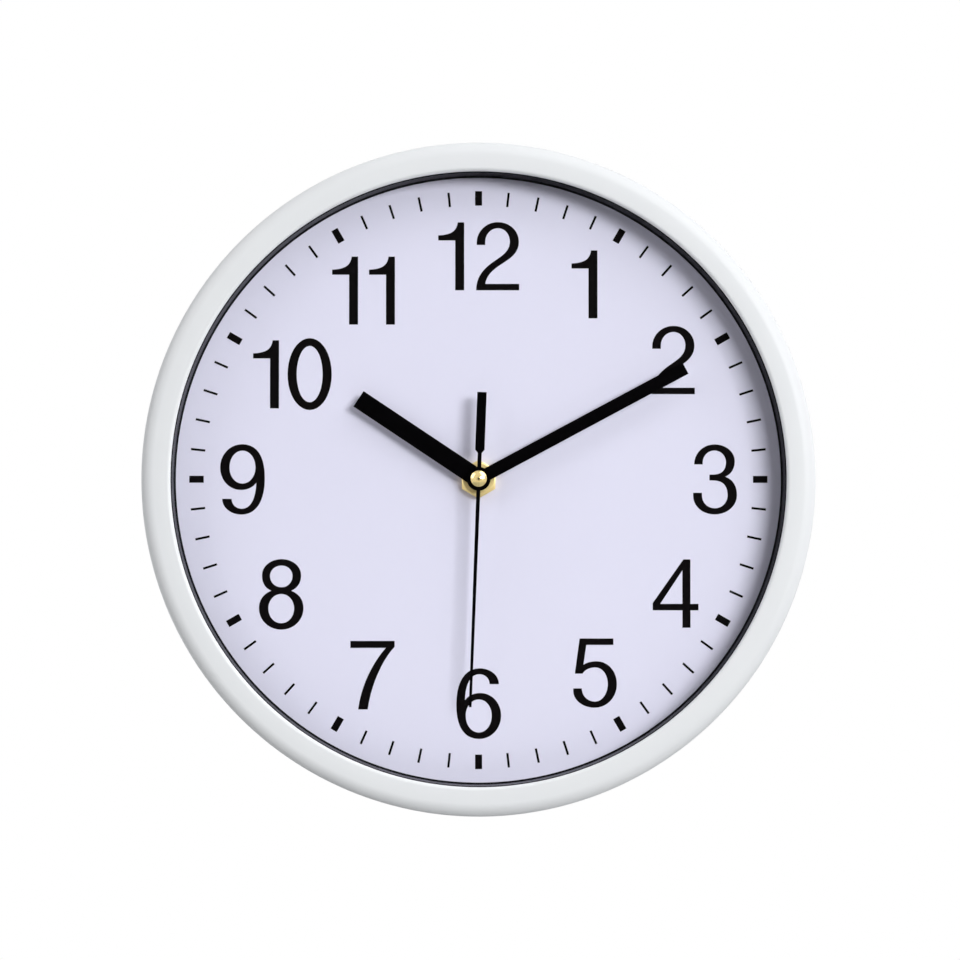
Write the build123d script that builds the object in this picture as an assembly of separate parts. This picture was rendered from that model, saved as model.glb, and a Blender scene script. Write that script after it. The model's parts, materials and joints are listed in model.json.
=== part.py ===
from build123d import *
from math import acos, atan2, cos, degrees, pi, radians, sin, tan
import os

# A battery wall clock with a quartz movement, in millimetres.
# It is drawn lying on its back: X points to three o'clock, Y to twelve o'clock, and Z away from the wall,
# with the origin on the hands' axis in the plane of the wall. "stand_up" then turns each finished piece,
# so that twelve o'clock is +Z and the dial faces -Y.

# ---- Case -------------------------------------------------------------------------------------------
CASE_RADIUS = 125.0         # widest radius of the front frame
CASE_DEPTH = 40.2           # wall to the crown of the frame
LIP_RADIUS = 113.95         # opening in front of the lens
WALL = 2.2                  # moulded wall of the frame and of the back case
FRAME_DRAFT = 0.8           # the frame is this much smaller in radius at the wall
FRAME_ROUND = 5.0           # depth of the outer rounding of the frame's face
ROUND_EASE = 0.01           # the rounding ends this far short of the shoulder
LIP_ROUND = 1.3             # inner rounding of the frame's face
LIP_THICKNESS = 2.0         # lip in front of the lens
LENS_THICKNESS = 2.0
LENS_RADIUS = 116.1
LENS_CHAMFER = 0.2
LENS_EASE = 0.3             # gap between the lens and the rib that centres it
RIB_THICKNESS = 1.6
RIB_DEPTH = 5.2
FLANGE_RECESS = 2.0         # the back case starts this far from the wall
REAR_WALL = 1.6             # the frame's wall round the edge of the back case
FLANGE_LEDGE = 0.9          # step inside the frame that the back case rests against
CASE_GAP = 0.3              # gap round the edge of the back case
DIAL_RADIUS = 115.5
DIAL_HOLE_RADIUS = 4.1
BACKING_THICKNESS = 3.0
DIAL_THICKNESS = 0.4
RING_FOOT_RADIUS = 113.0    # black inner ring where it meets the dial
RING_FOOT_WIDTH = 0.4       # the flat step at its foot
RING_FOOT_HEIGHT = 0.4
RING_TOP_RADIUS = 113.75    # black inner ring where it meets the lens
RING_OUTER_RADIUS = 116.0
RING_WALL = 1.3
RING_FLANGE = 1.0
SUPPORT_RADIUS = 113.5      # outside of the wall under the dial's edge

LENS_TOP = CASE_DEPTH - LIP_THICKNESS
LENS_BOTTOM = LENS_TOP - LENS_THICKNESS
FLANGE_FRONT = FLANGE_RECESS + WALL
REAR_RADIUS = CASE_RADIUS - FRAME_DRAFT
REAR_BORE = REAR_RADIUS - REAR_WALL
BACK_RADIUS = REAR_BORE - CASE_GAP

# ---- Case screws and hanger -------------------------------------------------------------------------
SCREW_ANGLES = [45, 135, 225, 315]
SCREW_CIRCLE = 119.2
SCREW_RADIUS = 1.25
SCREW_LENGTH = 10.0
SCREW_CLEARANCE_RADIUS = 1.6
SCREW_HEAD_RADIUS = 2.8
SCREW_HEAD_HEIGHT = 1.6
BOSS_RADIUS = 3.1
BOSS_TOP = 36.0
BOSS_HOLE_DEPTH = 12.0
CROSS_HALF_LENGTH = 1.8     # the driver's cross in a screw's head
CROSS_HALF_WIDTH = 0.3
HANGER_WIDTH = 26.0
HANGER_HEIGHT = 38.0
HANGER_THICKNESS = 1.2
HANGER_CORNER = 3.0
HANGER_MIDDLE = 100.0       # height of the plate's middle above the hands' axis
HANGER_SEAT_EASE = 0.1
KEYHOLE_HEIGHT = 95.0       # height of the keyhole's round entry above the hands' axis
KEYHOLE_RADIUS = 5.0
SLOT_RADIUS = 2.5
SLOT_RISE = 8.0             # the slot's end above the round entry
WINDOW_HALF_WIDTH = 9.0     # opening of the back case behind the keyhole, for a screw head
WINDOW_BOTTOM = 88.0
WINDOW_TOP = 110.0
RIVET_HEIGHTS = [83.9, 116.1]
RIVET_RADIUS = 1.5
RIVET_HEAD_RADIUS = 2.3
RIVET_HEAD_HEIGHT = 0.9

# ---- Quartz movement --------------------------------------------------------------------------------
MOVEMENT_SIDE = 56.0
MOVEMENT_REAR = 5.6
MOVEMENT_SPLIT = 12.6
MOVEMENT_FRONT = 21.4
MOVEMENT_WALL = 1.2
MOVEMENT_FACE = 1.4
MOVEMENT_CORNER = 3.0
CLIP_WIDTH = 7.0
CLIP_THICKNESS = 1.0
CLIP_REACH = 4.0
WELL_WALL = 2.0             # back case wall round the movement
WELL_GAP = 2.2              # room round the movement for fingers
WASHER_THICKNESS = 1.6
RUBBER_WASHER_RADIUS = 9.0
BRASS_WASHER_RADIUS = 6.2
BRASS_WASHER_THICKNESS = 0.8
BUSH_RADIUS = 4.0
BUSH_BORE_RADIUS = 2.56
BUSH_FLANGE_RADIUS = 6.0
BUSH_FLANGE_THICKNESS = 1.2
BUSH_TOP = 29.8
NUT_ACROSS_FLATS = 12.5
NUT_THICKNESS = 2.2
NUT_CHAMFER = 0.7           # how far back the nut's corners are turned off
NUT_CHAMFER_WIDTH = 1.4

FACE_INSIDE = MOVEMENT_FRONT - MOVEMENT_FACE
REAR_INSIDE = MOVEMENT_REAR + MOVEMENT_FACE
PLATE_BACK = MOVEMENT_FRONT + WASHER_THICKNESS
DIAL_BACK = PLATE_BACK + BACKING_THICKNESS
DIAL_FACE = DIAL_BACK + DIAL_THICKNESS
HALF_SIDE = MOVEMENT_SIDE / 2
INNER_HALF = HALF_SIDE - MOVEMENT_WALL

# ---- AA cell and its tray ---------------------------------------------------------------------------
CELL_RADIUS = 7.1
CELL_LENGTH = 50.5
CELL_NUB_LENGTH = 1.9
CELL_NUB_RADIUS = 2.7
CELL_SLEEVE = 0.15
CELL_SLEEVE_INSET = 0.4
CELL_INSULATOR = 0.3
CELL_INSULATOR_RADIUS = 6.2
CELL_X = 26.3               # end of the positive nub
CELL_Y = -19.6
CELL_Z = 12.8
TRAY_TOP = -12.4
TRAY_BOTTOM = -26.8
CONTACT_THICKNESS = 0.4
CONTACT_HALF_WIDTH = 4.6
CONTACT_LOW = 8.0
CONTACT_HIGH = 17.6
LEAF_BOW = 2.1
LEAF_THICKNESS = 0.3
LEAF_HALF_HEIGHT = 2.6
STRIP_LOW = 7.4
STRIP_HIGH = 9.4
STRIP_THICKNESS = 0.3
POSITIVE_TAB_WIDTH = 1.3
POSITIVE_TAB_LAP = 1.0      # the tab reaches this far under the circuit board
NEGATIVE_TAB_LAP = 2.0
NEGATIVE_TAB_RISE = 1.0     # the tab stands this far past the circuit board

# ---- Wheels: teeth, module, and the levels of the face ----------------------------------------------
PRESSURE_ANGLE = radians(20)
TOOTH_SHARE = 0.38          # share of the pitch that is tooth, the rest is gap
ADDENDUM = 0.8              # tooth above the pitch circle, in modules
DEDENDUM = 1.1              # gap below the pitch circle, in modules
STEP_MODULE = 0.25          # rotor pinion and step wheel
TRAIN_MODULE = 0.3          # step pinion to third wheel
CENTRE_TEETH = 64
MINUTE_MODULE = 0.4         # cannon pinion, minute wheel and setting pinion
ROTOR_LEAVES = 12
STEP_TEETH = 60
STEP_LEAVES = 10
SECOND_TEETH = 60
SECOND_LEAVES = 8
THIRD_TEETH = 60
THIRD_LEAVES = 8
CANNON_LEAVES = 12
MINUTE_TEETH = 36
MINUTE_LEAVES = 10
HOUR_TEETH = 40
KNOB_LEAVES = 12
PIVOT_RADIUS = 0.4
PIVOT_HOLE_RADIUS = 0.45
ARBOR_RADIUS = 0.5
ARBOR_HOLE_RADIUS = 0.56
ARBOR_REAR = 6.4
BEARING_REAR = 6.2
BEARING_FRONT = 8.2
BEARING_RADIUS = 1.6
BRIDGE_REAR = 12.4
BRIDGE_FRONT = 13.2
STEP_ANGLE = 26.5           # degrees anticlockwise from three o'clock, seen from the front
ROTOR_ANGLE = 112.4
THIRD_ANGLE = 172.0
MINUTE_ANGLE = -10.0
KNOB_ANGLE = -10.0

STEP_LEVEL = (11.3, 11.9)
ROTOR_PINION_LEVEL = (11.2, 12.2)
STEP_PINION_LEVEL = (8.6, 10.4)
SECOND_LEVEL = (9.0, 9.7)
SECOND_PINION_LEVEL = (10.2, 12.0)
THIRD_LEVEL = (11.0, 11.7)
THIRD_PINION_LEVEL = (13.4, 14.6)
CENTRE_LEVEL = (13.7, 14.3)
CENTRE_HUB_LEVEL = (13.3, 14.9)
CANNON_LEVEL = (15.2, 16.6)
MINUTE_LEVEL = (15.5, 16.3)
MINUTE_PINION_LEVEL = (16.3, 18.3)
HOUR_LEVEL = (17.2, 17.9)
HOUR_HUB_LEVEL = (16.8, 18.4)
KNOB_PINION_LEVEL = (15.2, 16.8)

MAGNET_RADIUS = 2.6
MAGNET_LEVEL = (8.6, 11.0)
SLEEVE_RADIUS = 0.6
CENTRE_HUB_RADIUS = 2.4
FRICTION_SLEEVE_RADIUS = 1.0
FRICTION_BORE_RADIUS = 1.05
MINUTE_PIPE_RADIUS = 1.5
MINUTE_PIPE_TOP = 33.2
MINUTE_PIPE_BORE_RADIUS = 0.55
HOUR_PIPE_RADIUS = 2.5
HOUR_PIPE_TOP = 31.2
HOUR_PIPE_BORE_RADIUS = 1.55
HOUR_HUB_RADIUS = 3.2
STUD_RADIUS = 0.8
STUD_BORE_RADIUS = 0.85
STUD_REAR = 15.0
THIRD_POST_REAR = 15.6
KNOB_POST_REAR = 17.2
KNOB_POST_RADIUS = 2.2
KNOB_STEM_RADIUS = 1.2
KNOB_STEM_TOP = 19.2
KNOB_HOLE_RADIUS = 1.26
KNOB_HEAD_RADIUS = 5.0
KNOB_HEAD_LEVEL = (2.8, 5.4)
KNOB_FLUTES = 16
KNOB_FLUTE_RADIUS = 0.45

# ---- Motor and electronics --------------------------------------------------------------------------
STATOR_LEVEL = (9.6, 10.4)
STATOR_HALF_LENGTH = 19.0
STATOR_BAR = (10.6, 15.4)
STATOR_ARM_WIDTH = 4.0
STATOR_TOP = 22.8
STATOR_HOLE_RADIUS = 3.2
STATOR_RING_RADIUS = 4.4
POST_X = 17.0
POST_Y = 13.0
POST_RADIUS = 1.4
POST_SHOULDER_RADIUS = 2.2
POST_EASE = 0.05
LOW_POST_X = 20.5
LOW_POST_Y = -9.2
LOW_POST_RADIUS = 1.5
CORE_Y = 21.6
CORE_HALF_WIDTH = 1.2
CORE_LEVEL = (10.4, 11.2)
BOBBIN_RADIUS = 2.0
BOBBIN_FLANGE_RADIUS = 3.7
BOBBIN_HALF_LENGTH = 13.6
BOBBIN_FLANGE = 1.0
WINDING_RADIUS = 3.4
BOARD_X = (-26.4, -20.2)
BOARD_Y = (-6.0, 24.0)
BOARD_LEVEL = (9.0, 10.0)
BOARD_LEDGE = 2.6
CHIP_Y = 8.0
CHIP_RADIUS = 2.3
CHIP_HEIGHT = 1.2
CHIP_ROUND = 0.96
CRYSTAL_Y = 15.0
CRYSTAL_LENGTH = 6.0
CRYSTAL_RADIUS = 1.0
CRYSTAL_ROUND = 0.33
BRIDGE_SCREW_RADIUS = 0.8
BRIDGE_SCREW_HEAD_RADIUS = 1.5
BRIDGE_SCREW_HEAD = 0.8
BRIDGE_SCREW_DEPTH = 3.4

# ---- Hands ------------------------------------------------------------------------------------------
HAND_THICKNESS = 0.4
HOUR_ANGLE = 303.7          # degrees clockwise from twelve
HOUR_LENGTH = 53.8
HOUR_WIDTH = 6.9
HOUR_HAND_TOP = 31.1
HOUR_COLLET_RADIUS = 3.4
MINUTE_HAND_ANGLE = 61.8
MINUTE_LENGTH = 87.3
MINUTE_WIDTH = 4.8
MINUTE_HAND_TOP = 33.1
MINUTE_COLLET_RADIUS = 2.5
COLLET_DEPTH = 1.0
HAND_EYE_RADIUS = 4.4
SECOND_ANGLE = 182.15
SECOND_LENGTH = 84.7
SECOND_ROOT_WIDTH = 1.5
SECOND_TIP_WIDTH = 1.0
SECOND_THICKNESS = 0.3
SECOND_HAND_TOP = 34.6
SECOND_COLLET_RADIUS = 1.1
SECOND_EYE_RADIUS = 2.8
TAIL_START = 10.7
TAIL_LENGTH = 32.2
TAIL_WIDTH = 3.5
TAIL_CHAMFER = 1.1
CAP_RADIUS = 3.0
CAP_HEIGHT = 1.0
CAP_MARK_RADIUS = 0.25
CAP_MARK_DEPTH = 0.2

# ---- Shapes that several pieces use -----------------------------------------------------------------


def disc(radius, level, at=(0, 0)):
    """A round plate or rod from level[0] to level[1] away from the wall."""
    low, high = level
    flat = (Align.CENTER, Align.CENTER, Align.MIN)
    return Pos(at[0], at[1], low) * Cylinder(radius, high - low, align=flat)


def tube(outer, inner, level, at=(0, 0)):
    return disc(outer, level, at) - disc(inner, level, at)


def block(across, up, level):
    """A box from across[0] to across[1] in X, up[0] to up[1] in Y and level[0] to level[1] in Z."""
    size = (across[1] - across[0], up[1] - up[0], level[1] - level[0])
    corner = (Align.MIN, Align.MIN, Align.MIN)
    return Pos(across[0], up[0], level[0]) * Box(*size, align=corner)


def rounded_block(half_side, corner, level):
    outline = RectangleRounded(2 * half_side, 2 * half_side, corner)
    return Pos(0, 0, level[0]) * extrude(outline, level[1] - level[0])


def plate(outline, level):
    return Pos(0, 0, level[0]) * extrude(outline, level[1] - level[0])


def turned(section):
    """The ring that a section of (radius, distance from the wall) points sweeps round the hands' axis."""
    return revolve(section, Axis.Z)


def section_of(points):
    return Plane.XZ * Polygon(*points, align=None)


def rounded_corner(section, radius, height, rounding):
    """Round the corner of a section that lies at a radius and a distance from the wall."""
    vertex = section.vertices().sort_by_distance((radius, 0, height))[0]
    return fillet(vertex, rounding)


def at_angle(origin, distance, angle):
    """The point at a distance from origin, at an angle anticlockwise from three o'clock."""
    return (origin[0] + distance * cos(radians(angle)), origin[1] + distance * sin(radians(angle)))


def lying_rod(radius, across, y, z):
    """A rod along X from across[0] to across[1]."""
    flat = (Align.CENTER, Align.CENTER, Align.MIN)
    return Pos(across[0], y, z) * Rot(0, 90, 0) * Cylinder(radius, across[1] - across[0], align=flat)


# ---- Gear geometry ----------------------------------------------------------------------------------


def pitch_radius(teeth, module):
    return teeth * module / 2


def involute(angle):
    return tan(angle) - angle


def half_tooth(radius, teeth, module):
    """Half the angle that a tooth spans at a radius: involute above the base circle, radial below it."""
    base = pitch_radius(teeth, module) * cos(PRESSURE_ANGLE)
    flank = acos(base / max(radius, base))
    return TOOTH_SHARE * pi / teeth + involute(PRESSURE_ANGLE) - involute(flank)


def toothed(teeth, module, phase, level, at):
    """A toothed disc with one tooth's middle at the phase angle."""
    pitch = pitch_radius(teeth, module)
    radii = [pitch - DEDENDUM * module, pitch, pitch + ADDENDUM * module]
    rising = [(radius, -half_tooth(radius, teeth, module)) for radius in radii]
    falling = [(radius, -angle) for radius, angle in reversed(rising)]
    points = []
    for tooth in range(teeth):
        middle = radians(phase) + 2 * pi * tooth / teeth
        for radius, angle in rising + falling:
            points.append((radius * cos(middle + angle), radius * sin(middle + angle)))
    return Pos(at[0], at[1], 0) * plate(Polygon(*points, align=None), level)


def meshed_phase(phase, teeth, other_teeth, direction):
    """The phase of a second gear that puts a gap where the first gear's tooth is.

    direction is the angle from the first gear's centre to the second's.
    """
    ahead = phase - direction
    return direction + 180 - ahead * teeth / other_teeth + 180 / other_teeth


def heading(start, end):
    return degrees(atan2(end[1] - start[1], end[0] - start[0]))


def centre_distance(teeth, other_teeth, module):
    return pitch_radius(teeth + other_teeth, module)


# ---- Where the arbors stand, and how the teeth are phased -------------------------------------------
AXIS = (0, 0)
STEP_AT = at_angle(AXIS, centre_distance(STEP_LEAVES, SECOND_TEETH, TRAIN_MODULE), STEP_ANGLE)
ROTOR_AT = at_angle(STEP_AT, centre_distance(ROTOR_LEAVES, STEP_TEETH, STEP_MODULE), ROTOR_ANGLE)
THIRD_DISTANCE = centre_distance(SECOND_LEAVES, THIRD_TEETH, TRAIN_MODULE)
THIRD_AT = at_angle(AXIS, THIRD_DISTANCE, THIRD_ANGLE)
CENTRE_MODULE = 2 * THIRD_DISTANCE / (THIRD_LEAVES + CENTRE_TEETH)
MINUTE_DISTANCE = centre_distance(CANNON_LEAVES, MINUTE_TEETH, MINUTE_MODULE)
MINUTE_AT = at_angle(AXIS, MINUTE_DISTANCE, MINUTE_ANGLE)
HOUR_MODULE = 2 * MINUTE_DISTANCE / (MINUTE_LEAVES + HOUR_TEETH)
KNOB_AT = at_angle(MINUTE_AT, centre_distance(KNOB_LEAVES, MINUTE_TEETH, MINUTE_MODULE), KNOB_ANGLE)

SECOND_PHASE = 0
STEP_PINION_PHASE = meshed_phase(SECOND_PHASE, SECOND_TEETH, STEP_LEAVES, heading(AXIS, STEP_AT))
STEP_PHASE = 0
ROTOR_PHASE = meshed_phase(STEP_PHASE, STEP_TEETH, ROTOR_LEAVES, heading(STEP_AT, ROTOR_AT))
SECOND_PINION_PHASE = 0
THIRD_PHASE = meshed_phase(SECOND_PINION_PHASE, SECOND_LEAVES, THIRD_TEETH, heading(AXIS, THIRD_AT))
THIRD_PINION_PHASE = 0
CENTRE_PHASE = meshed_phase(THIRD_PINION_PHASE, THIRD_LEAVES, CENTRE_TEETH, heading(THIRD_AT, AXIS))
CANNON_PHASE = 0
MINUTE_PHASE = meshed_phase(CANNON_PHASE, CANNON_LEAVES, MINUTE_TEETH, heading(AXIS, MINUTE_AT))
KNOB_PHASE = meshed_phase(MINUTE_PHASE, MINUTE_TEETH, KNOB_LEAVES, heading(MINUTE_AT, KNOB_AT))
MINUTE_PINION_PHASE = 0
HOUR_PHASE = meshed_phase(MINUTE_PINION_PHASE, MINUTE_LEAVES, HOUR_TEETH, heading(MINUTE_AT, AXIS))

# ---- Case pieces ------------------------------------------------------------------------------------


def screw_places():
    return [at_angle(AXIS, SCREW_CIRCLE, angle) for angle in SCREW_ANGLES]


def front_frame():
    """The white ring: outer wall, rounded face, lip, rib round the lens and screw bosses."""
    shoulder = CASE_DEPTH - FRAME_ROUND
    seat = LENS_RADIUS + LENS_EASE
    rib_outside = seat + RIB_THICKNESS
    rib_foot = LENS_TOP - RIB_DEPTH
    inside = CASE_RADIUS - WALL
    section = section_of([
        (REAR_RADIUS, 0), (CASE_RADIUS, shoulder), (CASE_RADIUS, CASE_DEPTH), (LIP_RADIUS, CASE_DEPTH),
        (LIP_RADIUS, LENS_TOP), (seat, LENS_TOP), (seat, rib_foot), (rib_outside, rib_foot),
        (rib_outside, CASE_DEPTH - WALL), (inside, CASE_DEPTH - WALL), (inside, shoulder),
        (BACK_RADIUS - FLANGE_LEDGE, FLANGE_FRONT), (REAR_BORE, FLANGE_FRONT), (REAR_BORE, 0)])
    section = rounded_corner(section, CASE_RADIUS, CASE_DEPTH, FRAME_ROUND - ROUND_EASE)
    section = rounded_corner(section, LIP_RADIUS, CASE_DEPTH, LIP_ROUND)
    section = rounded_corner(section, inside, CASE_DEPTH - WALL, FRAME_ROUND - WALL - RIB_THICKNESS)
    frame = turned(section)
    for place in screw_places():
        frame += disc(BOSS_RADIUS, (FLANGE_FRONT, BOSS_TOP), place)
    for place in screw_places():
        frame -= disc(SCREW_RADIUS, (FLANGE_FRONT, FLANGE_FRONT + BOSS_HOLE_DEPTH), place)
    return frame


def lens():
    glass = disc(LENS_RADIUS, (LENS_BOTTOM, LENS_TOP))
    return chamfer(glass.edges(), LENS_CHAMFER)


def inner_ring():
    """The black ring that spaces the lens from the dial, hollow on its outside."""
    low, high = DIAL_FACE + RING_FLANGE, LENS_BOTTOM - RING_FLANGE
    step = DIAL_FACE + RING_FOOT_HEIGHT
    return turned(section_of([
        (RING_FOOT_RADIUS, DIAL_FACE), (RING_OUTER_RADIUS, DIAL_FACE),
        (RING_OUTER_RADIUS, low), (RING_FOOT_RADIUS + RING_WALL, low),
        (RING_TOP_RADIUS + RING_WALL, high), (RING_OUTER_RADIUS, high),
        (RING_OUTER_RADIUS, LENS_BOTTOM), (RING_TOP_RADIUS, LENS_BOTTOM),
        (RING_FOOT_RADIUS + RING_FOOT_WIDTH, step), (RING_FOOT_RADIUS, step)]))


def dial():
    return tube(DIAL_RADIUS, DIAL_HOLE_RADIUS, (DIAL_BACK, DIAL_FACE))


def dial_plate():
    return tube(DIAL_RADIUS, DIAL_HOLE_RADIUS, (PLATE_BACK, DIAL_BACK))


def keyhole(level):
    entry = disc(KEYHOLE_RADIUS, level, (0, KEYHOLE_HEIGHT))
    end = KEYHOLE_HEIGHT + SLOT_RISE
    slot = block((-SLOT_RADIUS, SLOT_RADIUS), (KEYHOLE_HEIGHT, end), level)
    return entry + slot + disc(SLOT_RADIUS, level, (0, end))


def hanger_outline(ease):
    outline = RectangleRounded(HANGER_WIDTH + 2 * ease, HANGER_HEIGHT + 2 * ease, HANGER_CORNER)
    return Pos(0, HANGER_MIDDLE, 0) * outline


def hanger_plate():
    """A steel plate let into the back, with a keyhole for the wall screw."""
    level = (FLANGE_RECESS, FLANGE_RECESS + HANGER_THICKNESS)
    steel = plate(hanger_outline(0), level) - keyhole(level)
    for height in RIVET_HEIGHTS:
        steel -= disc(RIVET_RADIUS, level, (0, height))
    return steel


def hanger_rivets():
    rivets = []
    for height in RIVET_HEIGHTS:
        place = (0, height)
        rear_head = disc(RIVET_HEAD_RADIUS, (FLANGE_RECESS - RIVET_HEAD_HEIGHT, FLANGE_RECESS), place)
        rear_head = fillet(rear_head.edges().group_by(Axis.Z)[0], RIVET_HEAD_HEIGHT / 2)
        shank = disc(RIVET_RADIUS, (FLANGE_RECESS, FLANGE_FRONT), place)
        front_head = disc(RIVET_HEAD_RADIUS, (FLANGE_FRONT, FLANGE_FRONT + RIVET_HEAD_HEIGHT), place)
        rivets.append(rear_head + shank + front_head)
    return Compound(children=rivets)


def back_case():
    """The rear moulding: a disc, a square well round the movement and a wall under the dial's edge."""
    floor = (FLANGE_RECESS, FLANGE_FRONT)
    through = (FLANGE_RECESS, PLATE_BACK)
    well_inside = HALF_SIDE + WELL_GAP
    case = disc(BACK_RADIUS, floor)
    case += tube(SUPPORT_RADIUS, SUPPORT_RADIUS - WALL, (FLANGE_FRONT, PLATE_BACK))
    case += rounded_block(well_inside + WELL_WALL, MOVEMENT_CORNER, through)
    case -= rounded_block(well_inside, MOVEMENT_CORNER, through)
    case -= block((-WINDOW_HALF_WIDTH, WINDOW_HALF_WIDTH), (WINDOW_BOTTOM, WINDOW_TOP), floor)
    case -= plate(hanger_outline(HANGER_SEAT_EASE), (FLANGE_RECESS, FLANGE_RECESS + HANGER_THICKNESS))
    for height in RIVET_HEIGHTS:
        case -= disc(RIVET_RADIUS, floor, (0, height))
    for place in screw_places():
        case -= disc(SCREW_CLEARANCE_RADIUS, floor, place)
    return case


def cross_recess(place, face, depth):
    """The cross cut into a screw's head, from its face towards the room."""
    x, y = place
    level = (face, face + depth)
    arms = [(CROSS_HALF_LENGTH, CROSS_HALF_WIDTH), (CROSS_HALF_WIDTH, CROSS_HALF_LENGTH)]
    level_arm, upright_arm = [block((x - dx, x + dx), (y - dy, y + dy), level) for dx, dy in arms]
    return level_arm + upright_arm


def case_screws():
    screws = []
    for place in screw_places():
        head = disc(SCREW_HEAD_RADIUS, (FLANGE_RECESS - SCREW_HEAD_HEIGHT, FLANGE_RECESS), place)
        head = fillet(head.edges().group_by(Axis.Z)[0], SCREW_HEAD_HEIGHT / 2)
        head -= cross_recess(place, FLANGE_RECESS - SCREW_HEAD_HEIGHT, SCREW_HEAD_HEIGHT / 2)
        screws.append(head + disc(SCREW_RADIUS, (FLANGE_RECESS, FLANGE_RECESS + SCREW_LENGTH), place))
    return Compound(children=screws)


# ---- Bush, washers and nut --------------------------------------------------------------------------


def rubber_washer():
    return tube(RUBBER_WASHER_RADIUS, BUSH_RADIUS, (MOVEMENT_FRONT, PLATE_BACK))


def threaded_bush():
    flange = disc(BUSH_FLANGE_RADIUS, (FACE_INSIDE - BUSH_FLANGE_THICKNESS, FACE_INSIDE))
    barrel = disc(BUSH_RADIUS, (FACE_INSIDE - BUSH_FLANGE_THICKNESS, BUSH_TOP))
    return flange + barrel - disc(BUSH_BORE_RADIUS, (FACE_INSIDE - BUSH_FLANGE_THICKNESS, BUSH_TOP))


def brass_washer():
    return tube(BRASS_WASHER_RADIUS, BUSH_RADIUS, (DIAL_FACE, DIAL_FACE + BRASS_WASHER_THICKNESS))


def hex_nut():
    """A thin hexagon nut, its front corners turned off to a cone."""
    low = DIAL_FACE + BRASS_WASHER_THICKNESS
    high = low + NUT_THICKNESS
    corner_radius = NUT_ACROSS_FLATS / 2 / cos(pi / 6)
    hexagon = RegularPolygon(corner_radius, 6, rotation=90)
    cone = turned(section_of([
        (0, low), (corner_radius, low), (corner_radius, high - NUT_CHAMFER),
        (corner_radius - NUT_CHAMFER_WIDTH, high), (0, high)]))
    return (plate(hexagon, (low, high)) & cone) - disc(BUSH_RADIUS, (low, high))


# ---- Movement housing -------------------------------------------------------------------------------


def housing_shell(level, cavity):
    shell = rounded_block(HALF_SIDE, MOVEMENT_CORNER, level)
    hollow = rounded_block(INNER_HALF, MOVEMENT_CORNER - MOVEMENT_WALL, cavity)
    tray_wall = block((-INNER_HALF, INNER_HALF), (TRAY_TOP, TRAY_TOP + MOVEMENT_WALL), cavity)
    return shell - hollow + tray_wall


def movement_front_case():
    """The housing half against the dial, with the bearings of the motion work."""
    case = housing_shell((MOVEMENT_SPLIT, MOVEMENT_FRONT), (MOVEMENT_SPLIT, FACE_INSIDE))
    case += disc(BEARING_RADIUS, (THIRD_POST_REAR, FACE_INSIDE), THIRD_AT)
    case += disc(KNOB_POST_RADIUS, (KNOB_POST_REAR, FACE_INSIDE), KNOB_AT)
    case += disc(STUD_RADIUS, (STUD_REAR, FACE_INSIDE), MINUTE_AT)
    clip = (MOVEMENT_SPLIT - CLIP_REACH, MOVEMENT_FRONT - CLIP_THICKNESS)
    for side in (-1, 1):
        outside = sorted((side * HALF_SIDE, side * (HALF_SIDE + CLIP_THICKNESS)))
        case += block(outside, (0, CLIP_WIDTH), clip)
    case -= disc(ARBOR_HOLE_RADIUS, (THIRD_POST_REAR, FACE_INSIDE - MOVEMENT_FACE), THIRD_AT)
    case -= disc(KNOB_HOLE_RADIUS, (KNOB_POST_REAR, KNOB_STEM_TOP + POST_EASE), KNOB_AT)
    return case - disc(BUSH_RADIUS, (FACE_INSIDE, MOVEMENT_FRONT))


def contact_span(side):
    """Where a contact's blade lies in X, against the right wall of the tray or the left one."""
    return sorted((side * INNER_HALF, side * (INNER_HALF - CONTACT_THICKNESS)))


def movement_rear_case():
    """The housing half against the wall: bearings, posts and the open tray for the cell."""
    case = housing_shell((MOVEMENT_REAR, MOVEMENT_SPLIT), (REAR_INSIDE, MOVEMENT_SPLIT))
    for place in (AXIS, STEP_AT, ROTOR_AT, THIRD_AT):
        case += disc(BEARING_RADIUS, (REAR_INSIDE, BEARING_FRONT), place)
    for side in (-1, 1):
        post = (side * POST_X, POST_Y)
        case += disc(POST_SHOULDER_RADIUS, (REAR_INSIDE, STATOR_LEVEL[0]), post)
        case += disc(POST_RADIUS, (REAR_INSIDE, BRIDGE_REAR), post)
        case += disc(LOW_POST_RADIUS, (REAR_INSIDE, BRIDGE_REAR), (side * LOW_POST_X, LOW_POST_Y))
        case -= disc(BRIDGE_SCREW_RADIUS, (BRIDGE_REAR - BRIDGE_SCREW_DEPTH, BRIDGE_REAR), post)
    ledge = (-INNER_HALF, -INNER_HALF + BOARD_LEDGE)
    for end in (BOARD_Y[0], BOARD_Y[1] - BOARD_LEDGE):
        case += block(ledge, (end, end + BOARD_LEDGE), (REAR_INSIDE, BOARD_LEVEL[0]))
    for place in (STEP_AT, ROTOR_AT):
        case -= disc(PIVOT_HOLE_RADIUS, (BEARING_REAR, BEARING_FRONT), place)
    for place in (AXIS, THIRD_AT):
        case -= disc(ARBOR_HOLE_RADIUS, (BEARING_REAR, BEARING_FRONT), place)
    case -= disc(KNOB_HOLE_RADIUS, (MOVEMENT_REAR, REAR_INSIDE), KNOB_AT)
    case -= block((-INNER_HALF, INNER_HALF), (TRAY_BOTTOM, TRAY_TOP), (MOVEMENT_REAR, REAR_INSIDE))
    wall = (TRAY_TOP, TRAY_TOP + MOVEMENT_WALL)
    case -= block(contact_span(1), wall, (STRIP_LOW, STRIP_HIGH))
    return case - block(contact_span(-1), wall, (STRIP_HIGH, BOARD_LEVEL[1] + NEGATIVE_TAB_RISE))


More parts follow.
